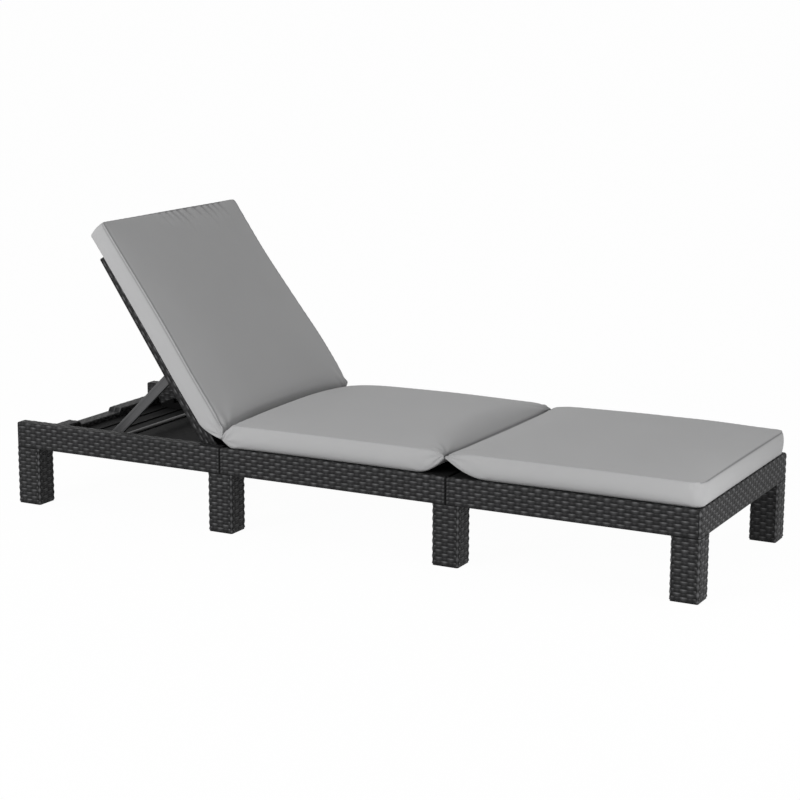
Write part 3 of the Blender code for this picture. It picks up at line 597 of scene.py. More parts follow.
class Skin:
    """What all the skins share: the weave's settings and their material."""

    def __init__(self, weave):
        self.weave = weave
        self.material = material_of("strand_resin", woven_material, weave)

    def reliefs(self, strip, face):
        """Heights of the woven face, and the painted light on each place.

        Upright corners carry a bead between two grooves. A skin's ends are plain, and then
        dotted. A weaver gets a painted highlight on its upper edge and the bead one all over;
        the plain ends are painted near black, as shade in the gap between sections.
        """
        weave = self.weave
        row = face.row[None, :]
        relief = relief_of(strip.stake[:, None], row, weave)
        aside = strip.from_corner[:, None] / (weave.bead / 2)
        lump = BEAD_LEVEL_SHARE + BEAD_LUMP_SHARE * np.cos(np.pi * row)
        relief = np.where(aside < 1, weave.rise * (lump - BEAD_FALL_SHARE * aside**4), relief)
        groove = (aside >= 1) & (aside < GROOVE_REACH_SHARE)
        relief = np.where(groove, -GROOVE_DEPTH_SHARE * weave.rise, relief)
        # Painted highlight along each weaver's upper edge and all over the bead; a weaver's lower
        # part is painted darker
        upper = smooth_step((row - np.floor(row) - UPPER_EDGE_START) / UPPER_EDGE_WIDTH)
        painted_light = np.where(aside < 1, BEAD_HIGHLIGHT, LOWER_PART_SHADE + (1 - LOWER_PART_SHADE) * upper)
        level = -PLAIN_DEPTH_SHARE * weave.rise
        if strip.plain:
            inside = strip.from_end[:, None]
            dots = level * (1 - 2 * abs(np.sin(np.pi * row)))
            relief = np.where(inside < strip.plain + strip.dots, dots, relief)
            relief = np.where(inside < strip.plain, 2 * level, relief)
            # Painted shade: the plain ends are near black, as the shade in the gap between sections
            painted_light = np.where(inside < strip.plain, 0, painted_light)
        return np.where(face.plain[None, :], level, relief), painted_light

    def add(self, name, strip, face, frame_of, depth, body="root", stretch=None, anchor=0.0):
        """A closed woven slab over the frame, from a strip along it and a face across it.

        A point is the strip's place, plus the face's place along the strip's outward direction
        and upwards, plus the relief along the face's normal. Stretch scales heights about
        anchor. The tone is painted light: the relief's share squared, darker in the gaps as
        painted shade, times the painted light of the place.
        """
        weave = self.weave
        relief, painted_light = self.reliefs(strip, face)
        low, high = -weave.rise - ROUNDING_SEEN_SHARE * weave.rounding, weave.rise
        shares = np.clip((relief - low) / (high - low), 0, 1)
        front = face.place + face.out * (weave.gap + depth * shares)[..., None]
        back = np.broadcast_to(face.back, (len(front), *face.back.shape))
        out, up = np.moveaxis(np.concatenate([front, back], 1), -1, 0)
        if stretch is not None:
            up = anchor + (up - anchor) * stretch(strip.place[:, 1])[:, None]
        flat = strip.place[:, None, :] + out[..., None] * strip.out[:, None, :]
        rings = frame_of(flat[..., 0], flat[..., 1], up)
        around = np.concatenate([face.distance, face.back_distance])
        behind = np.zeros(back.shape[:2])
        values = {
            "relief": np.concatenate([shares, behind], 1),
            # Painted light: painted shade in the gaps, painted highlights on crests, upper edges
            # and beads
            "tone": np.concatenate([shares**2 * painted_light, behind], 1),
        }
        piece = ring_piece(name, rings, strip.closed, strip.distance, around, values)
        dress(piece, self.material, body, "woven_resin")


def placed(origin, out, forward=(1, 0, 0)):
    """Turns a strip's own directions into the part's, from an origin at its start."""

    def into_frame(side, ahead, up):
        flat = side[..., None] * np.array(out) + ahead[..., None] * np.array(forward)
        return np.array(origin) + flat + up[..., None] * np.array((0.0, 0.0, 1.0))

    return into_frame


def apron_face(weave):
    return Face([DECK_TOP - APRON_BOTTOM - weave.edge, END_STEP], weave, tail=END_STEP)


def side_skin(skin, name, section, side, face, depth):
    """The skin along one side of a section, from the section's box."""
    low_x, high_x = section[0].x, section[1].x
    strip = Strip([high_x - low_x], skin.weave, plain=PLAIN_END, dots=DOTTED_END)
    place = placed((low_x, side * HALF_WIDTH, APRON_BOTTOM), (0, side, 0))
    skin.add(name, strip, face, place, depth)


def make_aprons(skin):
    """The skins round the foot section and along both sides of the seat section."""
    weave = skin.weave
    face = apron_face(weave)
    reach = FOOT_DECK[1].x - FOOT_DECK[0].x - weave.edge
    runs = [reach, 2 * HALF_WIDTH - 2 * weave.edge, reach]
    strip = Strip(runs, weave, plain=PLAIN_END, dots=DOTTED_END)
    place = placed((FOOT_DECK[0].x, -HALF_WIDTH, APRON_BOTTOM), (0, -1, 0))
    skin.add("apron_foot", strip, face, place, weave.depth)
    for word, side in SIDES:
        side_skin(skin, f"apron_seat_{word}", SEAT_DECK, side, face, weave.depth)


RAIL_WIDTH = 0.034
REAR_RAIL_WIDTH = 0.040
REAR_RAIL_HEIGHT = 0.030
TRAY_FLOOR = 0.165
GRIP_HALF = 0.100
GRIP_DEPTH = 0.010
GRIP_SLOPE = 0.008


def make_tray(skin):
    """The skins of both side rails, the two head-end posts and the low rear rail."""
    weave = skin.weave
    r, depth = weave.edge, weave.rail_depth
    half = HALF_WIDTH - RAIL_WIDTH
    runs = [DECK_TOP - APRON_BOTTOM - r, RAIL_WIDTH - 2 * r, DECK_TOP - TRAY_FLOOR - r]
    for word, side in SIDES:
        side_skin(skin, f"rail_{word}", TRAY, side, Face(runs, weave), depth)
        strip = Strip([RAIL_WIDTH], weave, plain=POST_END, dots=POST_END)
        place = placed((TRAY[0].x, side * half, APRON_BOTTOM), (-1, 0, 0), (0, side, 0))
        skin.add(f"post_{word}", strip, apron_face(weave), place, depth)
    floor_drop = APRON_BOTTOM + REAR_RAIL_HEIGHT - TRAY_FLOOR
    face = Face([REAR_RAIL_HEIGHT - r, REAR_RAIL_WIDTH - 2 * r, floor_drop - r], weave)
    place = placed((TRAY[0].x, -half, APRON_BOTTOM), (-1, 0, 0), (0, 1, 0))

    def grip(along):
        sunk = smooth_step((GRIP_HALF - abs(along - half)) / GRIP_SLOPE)
        return 1 - GRIP_DEPTH / REAR_RAIL_HEIGHT * sunk

    skin.add("rear_rail", Strip([2 * half], weave), face, place, depth, stretch=grip)


LEG_FOOT_GAP = 0.0003
LEG_TOP_GAP = 0.0006


def make_legs(skin):
    """A woven sleeve round each of the eight legs."""
    weave = skin.weave
    face = Face([APRON_BOTTOM - LEG_TOP_GAP - LEG_FOOT_GAP], weave, LEG_MARGIN)
    for name in (f"{place}_{word}" for place in LEG_PLACES for word, _ in SIDES):
        low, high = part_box(f"leg_{name}")
        runs = [high.x - low.x - 2 * weave.edge, high.y - low.y - 2 * weave.edge] * 2
        place = placed((low.x + weave.edge, low.y, LEG_FOOT_GAP), (0, -1, 0))
        strip = Strip(runs, weave, closed=True)
        skin.add(f"leg_sleeve_{name}", strip, face, place, weave.depth)


PANEL_SKIRT = 0.040
PANEL_HEAD_SKIRT = 0.032
PANEL_FRONT = 0.024
PANEL_SETBACK = 0.0131
PANEL_CLEARANCE = 0.005


def make_panel_skirt(skin):
    """The skin round the backrest panel's two sides and head end, shallower at the head.

    It is worked out flat and then turned up about the backrest's hinge.
    """
    weave = skin.weave
    reach = HINGE.x + PANEL_FRONT - TRAY[0].x - PANEL_SETBACK
    half = HALF_WIDTH - RAIL_WIDTH - PANEL_CLEARANCE
    runs = [reach - weave.edge, 2 * half - 2 * weave.edge, reach - weave.edge]
    face = Face([PANEL_SKIRT - weave.edge, END_STEP], weave, PANEL_MARGIN, END_STEP)
    origin = (HINGE.x + PANEL_FRONT, half, DECK_TOP - PANEL_SKIRT)
    flat = placed(origin, (0, 1, 0), (-1, 0, 0))
    hinge = np.array(HINGE)

    def leaned(side, ahead, up):
        return hinge + (flat(side, ahead, up) - hinge) @ LEANED.T

    def taper(along):
        return 1 - (1 - PANEL_HEAD_SKIRT / PANEL_SKIRT) * np.clip(along / reach, 0, 1)

    strip, depth = Strip(runs, weave), weave.panel_depth
    skin.add("panel_skirt", strip, face, leaned, depth, "backrest", taper, PANEL_SKIRT)


# Prop

ARM_HALF_WIDTH = 0.013
ARM_END_STEPS = 13
ARM_EDGE_STEPS = 5
ARM_SHARP_ANGLE = math.radians(40)
# Across a face: shares of the half width and the channel's depth, and how far a ring stops short
ARM_FACE = ((0.30, 1, 0.030), (0.40, 1, 0.030), (0.52, 0, 0.024), (0.60, 0, 0.012))


def arm_rings(span, half_thick, resin):
    """Rings of a flat bar: from the channel of one face, over the rim, to the other face.

    Each ring is a stadium round a line along the bar: its width and its height above the
    bar's middle follow a short profile that is the same on both faces.
    """
    edge = resin.arm_edge
    profile = [(w, half_thick - resin.channel * sunk, short) for w, sunk, short in ARM_FACE]
    for a in np.linspace(0, math.pi / 2, ARM_EDGE_STEPS):
        width = 1 - edge / ARM_HALF_WIDTH * (1 - math.sin(a))
        profile.append((width, half_thick - edge * (1 - math.cos(a)), 0.0))
    profile += [(w, -h, s) for w, h, s in reversed(profile)]
    near = np.linspace(-math.pi / 2, math.pi / 2, ARM_END_STEPS)
    angles = np.concatenate([near, near + math.pi])
    at_pivot = np.arange(len(angles)) < ARM_END_STEPS
    rings = []
    for width, height, short in profile:
        x = np.where(at_pivot, -short, short - span) + ARM_HALF_WIDTH * width * np.cos(angles)
        z = ARM_HALF_WIDTH * width * np.sin(angles)
        rings.append(np.stack((x, np.full(len(x), height), z), -1))
    return np.array(rings)


def make_prop_arms(resin, material):
    """Both prop arms: flat bars with round ends, rounded edges and a shallow channel."""
    low, high = PROP_ARM
    rod = (PROP_ROD[0] + PROP_ROD[1]) / 2
    offset = Vector((PROP_PIVOT.x - rod.x, 0, PROP_PIVOT.z - rod.z))
    slope = math.atan2(offset.z, offset.x)
    rings = arm_rings(offset.length, (high.y - low.y) / 2, resin)
    rings = rings @ np.array(Matrix.Rotation(-slope, 3, "Y")).T
    for word, side in SIDES:
        middle = (PROP_PIVOT.x, side * (low.y + high.y) / 2, PROP_PIVOT.z)
        piece = ring_piece(f"prop_bar_{word}", rings + np.array(middle))
        piece.data.set_sharp_from_angle(angle=ARM_SHARP_ANGLE)
        dress(piece, material, "prop", "smooth_resin", f"prop_arm_{word}")


# Cushion

TOUCH = 0.0003
SEAM_HALF = 0.0025
HIP_GAP = 0.0015
BACK_SETBACK = 0.006
OVERHANG_START = 0.283
OVERHANG_STEP = 0.003
FOOT_CORNER, HEAD_CORNER = 0.027, 0.009
LOW_EDGE, BACK_LOW_EDGE = 0.007, 0.004
BULGE = 0.003
DRAWN = 0.004
FOLD_THICKNESS = 0.003
HIP_RISE, KNEE_RISE = 0.026, 0.046
# Lengths of the tapers at the folds: the bottom's, and then the top's
SEAT_HIP_TAPERS = (0.034, 0.036)
SEAT_KNEE_TAPERS = (0.088, 0.040)
FOOT_KNEE_TAPERS = (0.100, 0.075)
BACK_HIP_TAPERS = (0.070, 0.020)
HEAD_SLOPE = 0.35
CROWN_POWER = 0.75
CROWN_END_SHARE = 0.25
LEAN, LEAN_REACH = 0.007, 0.06
FLARE_SHARE, FLARE_REACH = 0.020, 0.20
SEAT_SINK, SEAT_SINK_REACH = 0.013, 0.07
SEAM_STEPS = (0.0, 0.0018, 0.0045)
SIDE_SEAM_WIDTH, END_SEAM_WIDTH = 0.0017, 0.0030
BACK_SEAM_DROP = 0.0036
# Rise and reach of the fuller side of the seat and foot, and of the back
SHOULDER, BACK_SHOULDER = (0.005, 0.30), (0.021, 0.50)
BACK_SHOULDER_SHARE, SHOULDER_FALL_SHARE, SHOULDER_CROSSING = 0.9, 0.8, 0.3
UNDER_FADE = 0.5


class Pad:
    """One section of the cushion: its ends along X, its heights, its crown and its folds.

    A fold is its rise over the bottom and the lengths of its two tapers. A shoulder is its
    rise and its reach. Seams are how deep the side and the end seams are, and how dark
    their painted shade is.
    """

    body = "root"
    low_fold = high_fold = None
    corner = FOOT_CORNER
    low_edge = LOW_EDGE
    seams = (0.35, 1.0)
    shoulder = SHOULDER
    head_border = clearance = flare = lean = seam_drop = sink = 0.0
    gathered = False
    axis, turn = np.zeros(3), np.eye(3)

    def __init__(self, name, low_x, high_x, bottom, border, crowns, **settings):
        self.name = name
        self.low_x, self.high_x, self.span = low_x, high_x, high_x - low_x
        self.bottom, self.border, self.crowns = bottom, border, crowns
        self.half = (FOOT_PAD[1].y - FOOT_PAD[0].y) / 2 - BULGE
        for key, value in settings.items():
            setattr(self, key, value)

    def place(self, p, q):
        """Places along and across the section from shares of its half sizes."""
        return self.low_x + self.span * (p + 1) / 2, q * self.half

    def heights(self, x):
        """Bottom, seam height and crown at each x: tapers at the folds, rounds at free ends."""
        along = (x - self.low_x) / self.span
        bottom = np.full(len(x), self.bottom)
        seam = np.full(len(x), self.bottom + self.border)
        seam = seam - self.head_border * (1 - smooth_step((x - self.low_x) / HEAD_SLOPE))
        crown = self.crowns[0] + along * (self.crowns[1] - self.crowns[0])
        for fold, distance in ((self.low_fold, x - self.low_x), (self.high_fold, self.high_x - x)):
            if fold:
                rise, (taper, top_taper) = fold
                lift = rise - FOLD_THICKNESS / 2
                bottom = bottom + (1 - np.clip(distance / taper, 0, 1)) ** 2 * lift
                sink = self.border - rise - FOLD_THICKNESS / 2
                seam = seam - (1 - quarter_rise(distance / top_taper)) * sink
                crown = crown * smooth_step(distance / (2 * top_taper))
            else:
                crown = crown * quarter_rise(distance / (self.span * CROWN_END_SHARE))
        return bottom, seam, crown


def box_grid(places):
    """The surface of a box as one closed grid: its points, from -1 to 1, and its quads.

    Each of the six sides is a grid of quads over the places along two axes. Points that two
    sides share are merged by their lattice number.
    """
    counts = [len(p) for p in places]
    sheets, flats = [], []
    for axis in range(3):
        b, c = [a for a in range(3) if a != axis]
        i, j = np.meshgrid(np.arange(counts[b]), np.arange(counts[c]), indexing="ij")
        for end in (0, counts[axis] - 1):
            spot = np.empty(i.shape + (3,), int)
            spot[..., axis], spot[..., b], spot[..., c] = end, i, j
            quad = np.stack((spot[:-1, :-1], spot[1:, :-1], spot[1:, 1:], spot[:-1, 1:]), 2)
            outward = (end > 0) == (axis != 1)
            quad = quad if outward else quad[:, :, ::-1]
            sheets.append(quad.reshape(-1, 4, 3))
            flats.append(quad.reshape(-1, 4, 3)[..., [b, c]])
    lattice = np.concatenate(sheets)
    key = (lattice[..., 0] * counts[1] + lattice[..., 1]) * counts[2] + lattice[..., 2]
    kept, index = np.unique(key, return_inverse=True)
    spots = np.stack(
        (kept // (counts[1] * counts[2]), kept // counts[2] % counts[1], kept % counts[2]), -1
    )
    shares = np.stack([places[a][spots[:, a]] for a in range(3)], -1)
    return shares, index.reshape(-1, 4), lattice


def seam_places(half_length, grid):
    """Places from -1 to 1, one grid apart, with finer rows beside both ends."""
    near = np.array(SEAM_STEPS) / half_length
    steps = max(3, int(round(2 * half_length / grid)))
    middle = np.linspace(-1 + near[-1] * 2, 1 - near[-1] * 2, steps)
    return np.concatenate([-1 + near, middle, (1 - near)[::-1]])


def pad_points(pad, shares):
    """Places of a pad's points from their shares of its box.

    In plan a free end's corners are rounded by mapping a square to a quarter disc. The
    border runs from the bottom, round a quarter circle, up to the top seam and bulges as a
    half sine. The top is a crown over the width: a power of one minus the square of y. The
    low end may lean, as a smooth step down the border, and the high end may flare.
    """
    p, q, r = shares.T
    x, y = pad.place(p, q)
    y_abs = abs(y)
    out_x, out_y = np.zeros(len(x)), np.zeros(len(x))
    on_side, on_end = abs(q) > 1 - NEAR, abs(p) > 1 - NEAR
    out_y[on_side] = 1
    for fold, sign, end in ((pad.low_fold, -1, pad.low_x), (pad.high_fold, 1, pad.high_x)):
        if fold:
            continue
        out_x[on_end & (p * sign > 0) & ~on_side] = sign
        corner = pad.corner
        centre_x, centre_y = end - sign * corner, pad.half - corner
        u = (x - centre_x) * sign / corner
        v = (y_abs - centre_y) / corner
        inside = (u > 0) & (v > 0)
        new_u = u * np.sqrt(np.clip(1 - v * v / 2, 0, 1))
        new_v = v * np.sqrt(np.clip(1 - u * u / 2, 0, 1))
        x = np.where(inside, centre_x + sign * corner * new_u, x)
        y_abs = np.where(inside, centre_y + corner * new_v, y_abs)
        rim = inside & (on_side | on_end)
        size = np.maximum(np.hypot(new_u, new_v), NEAR)
        out_x[rim], out_y[rim] = (sign * new_u / size)[rim], (new_v / size)[rim]
    bottom, seam, crown = pad.heights(x)
    height = seam - bottom
    along = (x - pad.low_x) / pad.span
    draw = DRAWN * np.sin(np.pi * np.clip(along, 0, 1))
    edge = np.minimum(pad.low_edge, height / 3)
    border = on_side | on_end
    up = (r + 1) / 2 * height
    round_in = edge - np.sqrt(np.clip(edge**2 - np.clip(edge - up, 0, None) ** 2, 0, None))
    bulge = BULGE * np.sin(np.pi * np.clip((up - edge) / (height - edge), 0, 1))
    outward = np.where(border, bulge * np.clip(height / pad.border, 0, 1) - round_in, 0)
    under = (r < -1 + NEAR) & ~border
    shrink = np.where(under, edge / pad.half, 0)
    y = y_abs * (1 - shrink) * (1 - draw / pad.half)
    if pad.low_fold is None or pad.high_fold is None:
        anchor = pad.high_x if pad.low_fold is None else pad.low_x
        x = np.where(under, anchor + (x - anchor) * (1 - edge / pad.span), x)
    x = x + outward * out_x
    x = x + pad.lean * (1 - r) / 2 * smooth_step(1 - (x - pad.low_x) / LEAN_REACH)
    y = (y + outward * out_y) * np.sign(q)
    eta = np.clip(abs(y) / (pad.half - draw), 0, 1)
    y = y * (1 + pad.flare * smooth_step((pad.high_x - x) / FLARE_REACH))
    z = np.where(r > 1 - NEAR, seam + crown * (1 - eta**2) ** CROWN_POWER, bottom + up)
    return np.stack((x, y, z), -1)


SOFT_WAVES = 9
SLOWEST, PACE_RANGE = 0.7, 0.6


def soft_noise(x, y, size, seed):
    """A smooth random height from about -1 to 1: sine waves in seeded directions."""
    rng = np.random.default_rng(seed)
    total = np.zeros_like(x)
    for turn, phase, pace in rng.random((SOFT_WAVES, 3)):
        k = 2 * math.pi / size * (SLOWEST + PACE_RANGE * pace)
        way = turn * 2 * math.pi
        total += np.sin(k * (x * math.cos(way) + y * math.sin(way)) + phase * 2 * math.pi)
    return total / math.sqrt(SOFT_WAVES * 2)


def read(data, key, width=3):
    """One property of all of a mesh's points, as an array of rows."""
    values = np.empty(len(data) * width, np.float32)
    data.foreach_get(key, values)
    return values.reshape(-1, width).astype(float)


def read_value(mesh, name):
    return read(mesh.attributes[name].data, "value", 1)[:, 0]


def write_points(mesh, points):
    mesh.vertices.foreach_set("co", points.astype(np.float32).ravel())
    mesh.update()


def apply_modifiers(piece):
    """Replaces a piece's mesh by what its modifiers make of it."""
    graph = bpy.context.evaluated_depsgraph_get()
    shaped = piece.evaluated_get(graph)
    mesh = bpy.data.meshes.new_from_object(shaped, preserve_all_data_layers=True, depsgraph=graph)
    piece.modifiers.clear()
    piece.data = mesh


# How the cover behaves as cloth, in Blender's own terms
COVER_FEEL = {
    "quality": 6,
    "mass": 0.25,
    "tension_stiffness": 12,
    "compression_stiffness": 12,
    "shear_stiffness": 6,
    "bending_stiffness": 0.4,
    "use_pressure": True,
}
SWELL_FRAMES = 20


def swell(piece, cushion, pinned):
    """Inflates the cover as cloth under pressure, and caps how far each point may move."""
    start = read(piece.data.vertices, "co")
    group = piece.vertex_groups.new(name="pinned")
    group.add(np.flatnonzero(pinned).tolist(), 1.0, "REPLACE")
    modifier = piece.modifiers.new("swell", "CLOTH")
    cloth = modifier.settings
    for name, value in COVER_FEEL.items():
        setattr(cloth, name, value)
    cloth.uniform_pressure_force = cushion.pressure
    cloth.effector_weights.gravity = 0
    cloth.vertex_group_mass = group.name
    modifier.collision_settings.use_collision = False
    modifier.point_cache.frame_start = 1
    modifier.point_cache.frame_end = SWELL_FRAMES
    scene = bpy.context.scene
    for step in range(SWELL_FRAMES):
        scene.frame_set(step + 1)
    apply_modifiers(piece)
    scene.frame_set(1)
    moved = read(piece.data.vertices, "co") - start
    far = np.linalg.norm(moved, axis=1, keepdims=True)
    moved = moved * cushion.swell * np.tanh(far / cushion.swell) / np.maximum(far, NEAR)
    write_points(piece.data, start + moved)


PUCKER_FADE = 0.012
SIDE_PUCKERS = (0.019, 1.1, 0.045)
END_PUCKERS = (0.021, 0.8, 0.05)
UNEVEN_SIZE, UNEVEN_SEED = 0.21, 3
FOLD_WRINKLE_REACH = 0.022
FOLD_WRINKLE_SHARE = 3.0
FOLD_WRINKLE_RAYS, FOLD_WRINKLE_PHASE = 9, 0.7
GATHER_START, GATHER_START_WIDTH = -0.14, 0.16
GATHER_END, GATHER_END_WIDTH = 0.27, 0.05
GATHER_PITCH, GATHER_WIDTH_SHARE = 0.034, 0.65
GATHER_DRIFT_SHARE, GATHER_DRIFT_PITCH, GATHER_PHASE = 0.25, 0.031, 0.4
GATHER_REACH, GATHER_REACH_CHANGE, GATHER_REACH_PITCH = 0.044, 0.014, 0.018
GATHER_TOP, GATHER_FLOOR = 0.004, 0.8
GATHER_SHADE = 0.50


def ripple(along, shape, phase=0.0):
    """From 0 to 1 and back once every pitch: a sine of a distance that drifts as a sine."""
    pitch, drift, drift_pitch = shape
    pace = along / pitch + drift * np.sin(along / drift_pitch + phase)
    return 0.5 + 0.5 * np.sin(2 * math.pi * pace)


def pad_wrinkles(pad, cushion, p, q, r):
    """Height of the wrinkles along the normals.

    Puckers run along the top seams and fade over a few centimetres. Folds spread from both
    ends of each sewn fold, and the whole cover is a little uneven.
    """
    x, y = pad.place(p, q)
    along, below = x - pad.low_x, pad.border * (1 - r) / 2
    from_side = pad.half * (1 - abs(q))
    puckers = ripple(along, SIDE_PUCKERS, 2 * np.sign(q))
    height = -cushion.pucker * puckers * np.exp(-(from_side + below) / PUCKER_FADE)
    height += 0.5 * cushion.pucker * soft_noise(x, y, UNEVEN_SIZE, UNEVEN_SEED)
    for fold, distance in ((pad.low_fold, along), (pad.high_fold, pad.high_x - x)):
        if not fold:
            fade = np.exp(-(distance + below) / PUCKER_FADE)
            height -= cushion.pucker * ripple(y, END_PUCKERS) * fade
            continue
        down = fold[0] + below - pad.border
        reach = np.sqrt(distance**2 + from_side**2 + down**2)
        swing = np.arctan2(down + from_side, distance)
        spread = (reach / FOLD_WRINKLE_REACH) * np.exp(1 - reach / FOLD_WRINKLE_REACH)
        rays = np.cos(FOLD_WRINKLE_RAYS * swing + FOLD_WRINKLE_PHASE)
        height += FOLD_WRINKLE_SHARE * cushion.pucker * spread * rays
    return height


def back_gathers(pad, p, q, r):
    """How deep a point is in the gathers that run down from the head-end seam.

    They are bells at about every 34 mm of the width, and fade along the back as a bell.
    """
    x, y = pad.place(p, q)
    distance = x - pad.low_x
    ahead = smooth_step((r - GATHER_FLOOR) / (1 - GATHER_FLOOR))
    where = smooth_step((y - GATHER_START) / GATHER_START_WIDTH)
    where = where * smooth_step((GATHER_END - y) / GATHER_END_WIDTH)
    drift = GATHER_DRIFT_SHARE * np.sin(y / GATHER_DRIFT_PITCH + GATHER_PHASE)
    pace = y / GATHER_PITCH + drift
    groove = np.exp(-((np.sin(math.pi * pace) / GATHER_WIDTH_SHARE) ** 2))
    reach = GATHER_REACH + GATHER_REACH_CHANGE * np.sin(y / GATHER_REACH_PITCH)
    fade = np.exp(-((distance / reach) ** 2)) * smooth_step(distance / GATHER_TOP)
    return ahead * where * fade * groove


def seam_groove_and_shade(pad, p, q, r):
    """How near a point is to a seam: a bell over the distance, as strong as the pad's seams. It
    sets both the seam's groove depth and its painted shade.
    """
    side, end = pad.seams
    below = pad.border / 2 * (1 - r)
    from_side = abs(pad.half * (1 - abs(q)) + below - pad.seam_drop)
    from_end = pad.span / 2 * (1 - abs(p)) + below
    strength = side * np.exp(-((from_side / SIDE_SEAM_WIDTH) ** 2))
    return np.maximum(strength, end * np.exp(-((from_end / END_SEAM_WIDTH) ** 2)))


HIP_SAG, HIP_SAG_REACH = 0.007, 0.045
KNEE_DRIFT, KNEE_DRIFT_REACH = 0.009, 0.070


def settled(points, half):
    """The ends of the hip fold hang a little, and the knee fold's near end is pulled back.

    Each shift is a bell over the distance from its fold: the first grows with the square of
    y, the second from the left side to the right.
    """
    points = points.copy()
    x, y, z = points.T
    hip = np.exp(-((x - SEAT_PAD[0].x) ** 2 + (z - DECK_TOP - HIP_RISE) ** 2) / HIP_SAG_REACH**2)
    knee = np.exp(-((x - SEAT_PAD[1].x) ** 2) / KNEE_DRIFT_REACH**2)
    points[:, 2] = z - HIP_SAG * hip * np.clip(y / half, -1, 1) ** 2
    points[:, 0] = x - KNEE_DRIFT * knee * smooth_step(0.5 - y / (2 * half))
    return points


def fuller_side(pad, points):
    """How much higher a section's left side is: the back's towards the hip, the others' midway.

    The lift is a smooth step over the length, times one over the width, times the height.
    A section that sinks does so as a bell beside its low end.
    """
    x, y, z = points.T
    rise, reach = pad.shoulder
    from_high, from_low = pad.high_x - x, x - pad.low_x
    if pad.low_fold is None:
        along = smooth_step((reach - from_high) / (BACK_SHOULDER_SHARE * reach))
        along = along * quarter_rise(from_high / BACK_HIP_TAPERS[1])
    else:
        along = smooth_step(from_low / reach)
        along = along * smooth_step(from_high / (SHOULDER_FALL_SHARE * reach))
    across = smooth_step((y / pad.half + SHOULDER_CROSSING) / (1 + SHOULDER_CROSSING))
    sunk = np.exp(-((from_low / SEAT_SINK_REACH) ** 2)) * smooth_step(y / pad.half)
    level = np.clip((z - pad.bottom) / pad.border, 0, 1)
    return (rise * along * across - pad.sink * sunk) * level


def flat_cloth(halves, places, lattice):
    """Places on the flat cloth of each corner of each quad, in metres: its two wide axes."""
    metres = np.stack([(halves[a] * places[a])[lattice[..., a]] for a in range(3)], -1)
    pick = np.array([(1, 2), (0, 2), (0, 1)])[np.ptp(metres, axis=1).argmin(1)]
    return np.take_along_axis(metres, pick[:, None, :].repeat(4, 1), 2)


def make_pad(pad, cushion, material):
    """One sewn section: shaped, swollen as cloth, subdivided, then grooved and wrinkled.

    It settles at the folds, and what hangs over the rails is raised clear of them.
    """
    halves = (pad.span / 2, pad.half, pad.border / 2)
    places = [seam_places(half, cushion.grid) for half in halves]
    shares, quads, lattice = box_grid(places)
    p, q, r = shares.T
    values = {"p": p, "q": q, "r": r, "seam": seam_groove_and_shade(pad, p, q, r)}
    flat = flat_cloth(halves, places, lattice)
    piece = build_piece(pad.name, pad_points(pad, shares), quads, (), flat, "cloth", values)
    sewn = (abs(p) > 1 - NEAR) | (abs(q) > 1 - NEAR)
    sewn = sewn & (r > 1 - NEAR) | (r < -1 + NEAR)
    for fold, sign in ((pad.low_fold, -1), (pad.high_fold, 1)):
        sewn |= (p * sign > 1 - NEAR) & bool(fold)
    swell(piece, cushion, sewn)
    smoother = piece.modifiers.new("smoother", "SUBSURF")
    smoother.levels = smoother.render_levels = 1
    apply_modifiers(piece)
    mesh = piece.data
    p, q, r = (read_value(mesh, name) for name in "pqr")
    points = read(mesh.vertices, "co")
    points[:, 2] += fuller_side(pad, points)
    write_points(mesh, points)
    seam = read_value(mesh, "seam")
    height = pad_wrinkles(pad, cushion, p, q, r) - cushion.seam_depth * seam
    if pad.gathered:
        gathers = back_gathers(pad, p, q, r)
        height -= cushion.gather * gathers
        # Painted shade in the gathers' grooves, laid in through the seam attribute
        seam = np.maximum(seam, GATHER_SHADE * gathers)
        mesh.attributes["seam"].data.foreach_set("value", seam.astype(np.float32))
    height *= smooth_step((r + 1) / UNDER_FADE)
    normals = read(mesh.vertex_normals, "vector")
    points = read(mesh.vertices, "co") + normals * height[:, None]
    points = (settled(pad.axis + points @ pad.turn.T, pad.half) - pad.axis) @ pad.turn
    outside = smooth_step((abs(points[:, 1]) - OVERHANG_START) / OVERHANG_STEP)
    points[:, 2] = np.maximum(points[:, 2], pad.bottom + pad.clearance * outside)
    write_points(mesh, pad.axis + points @ pad.turn.T)
    for name in "pqr":
        mesh.attributes.remove(mesh.attributes[name])
    dress(piece, material, pad.body, "cushion_cloth", pad.name.removesuffix("_cover"))


def make_cushion(cushion, material):
    """The three sections and the two sewn folds between them."""
    bottom, border = DECK_TOP + TOUCH, cushion.seat_border
    crowns = (cushion.crown, cushion.crown)
    seat = Pad(
        "cushion_seat_cover",
        *(SEAT_PAD[0].x, SEAT_PAD[1].x, bottom, border, crowns),
        low_fold=(HIP_RISE, SEAT_HIP_TAPERS),
        high_fold=(KNEE_RISE, SEAT_KNEE_TAPERS),
        sink=SEAT_SINK,
    )
    foot = Pad(
        "cushion_foot_cover",
        *(FOOT_PAD[0].x, FOOT_DECK[1].x, bottom, border, crowns),
        low_fold=(KNEE_RISE, FOOT_KNEE_TAPERS),
    )
    back = back_pad(cushion, look("weave"))
    for pad in (seat, foot, back):
        make_pad(pad, cushion, material)
    make_folds(seat, foot, back, material)


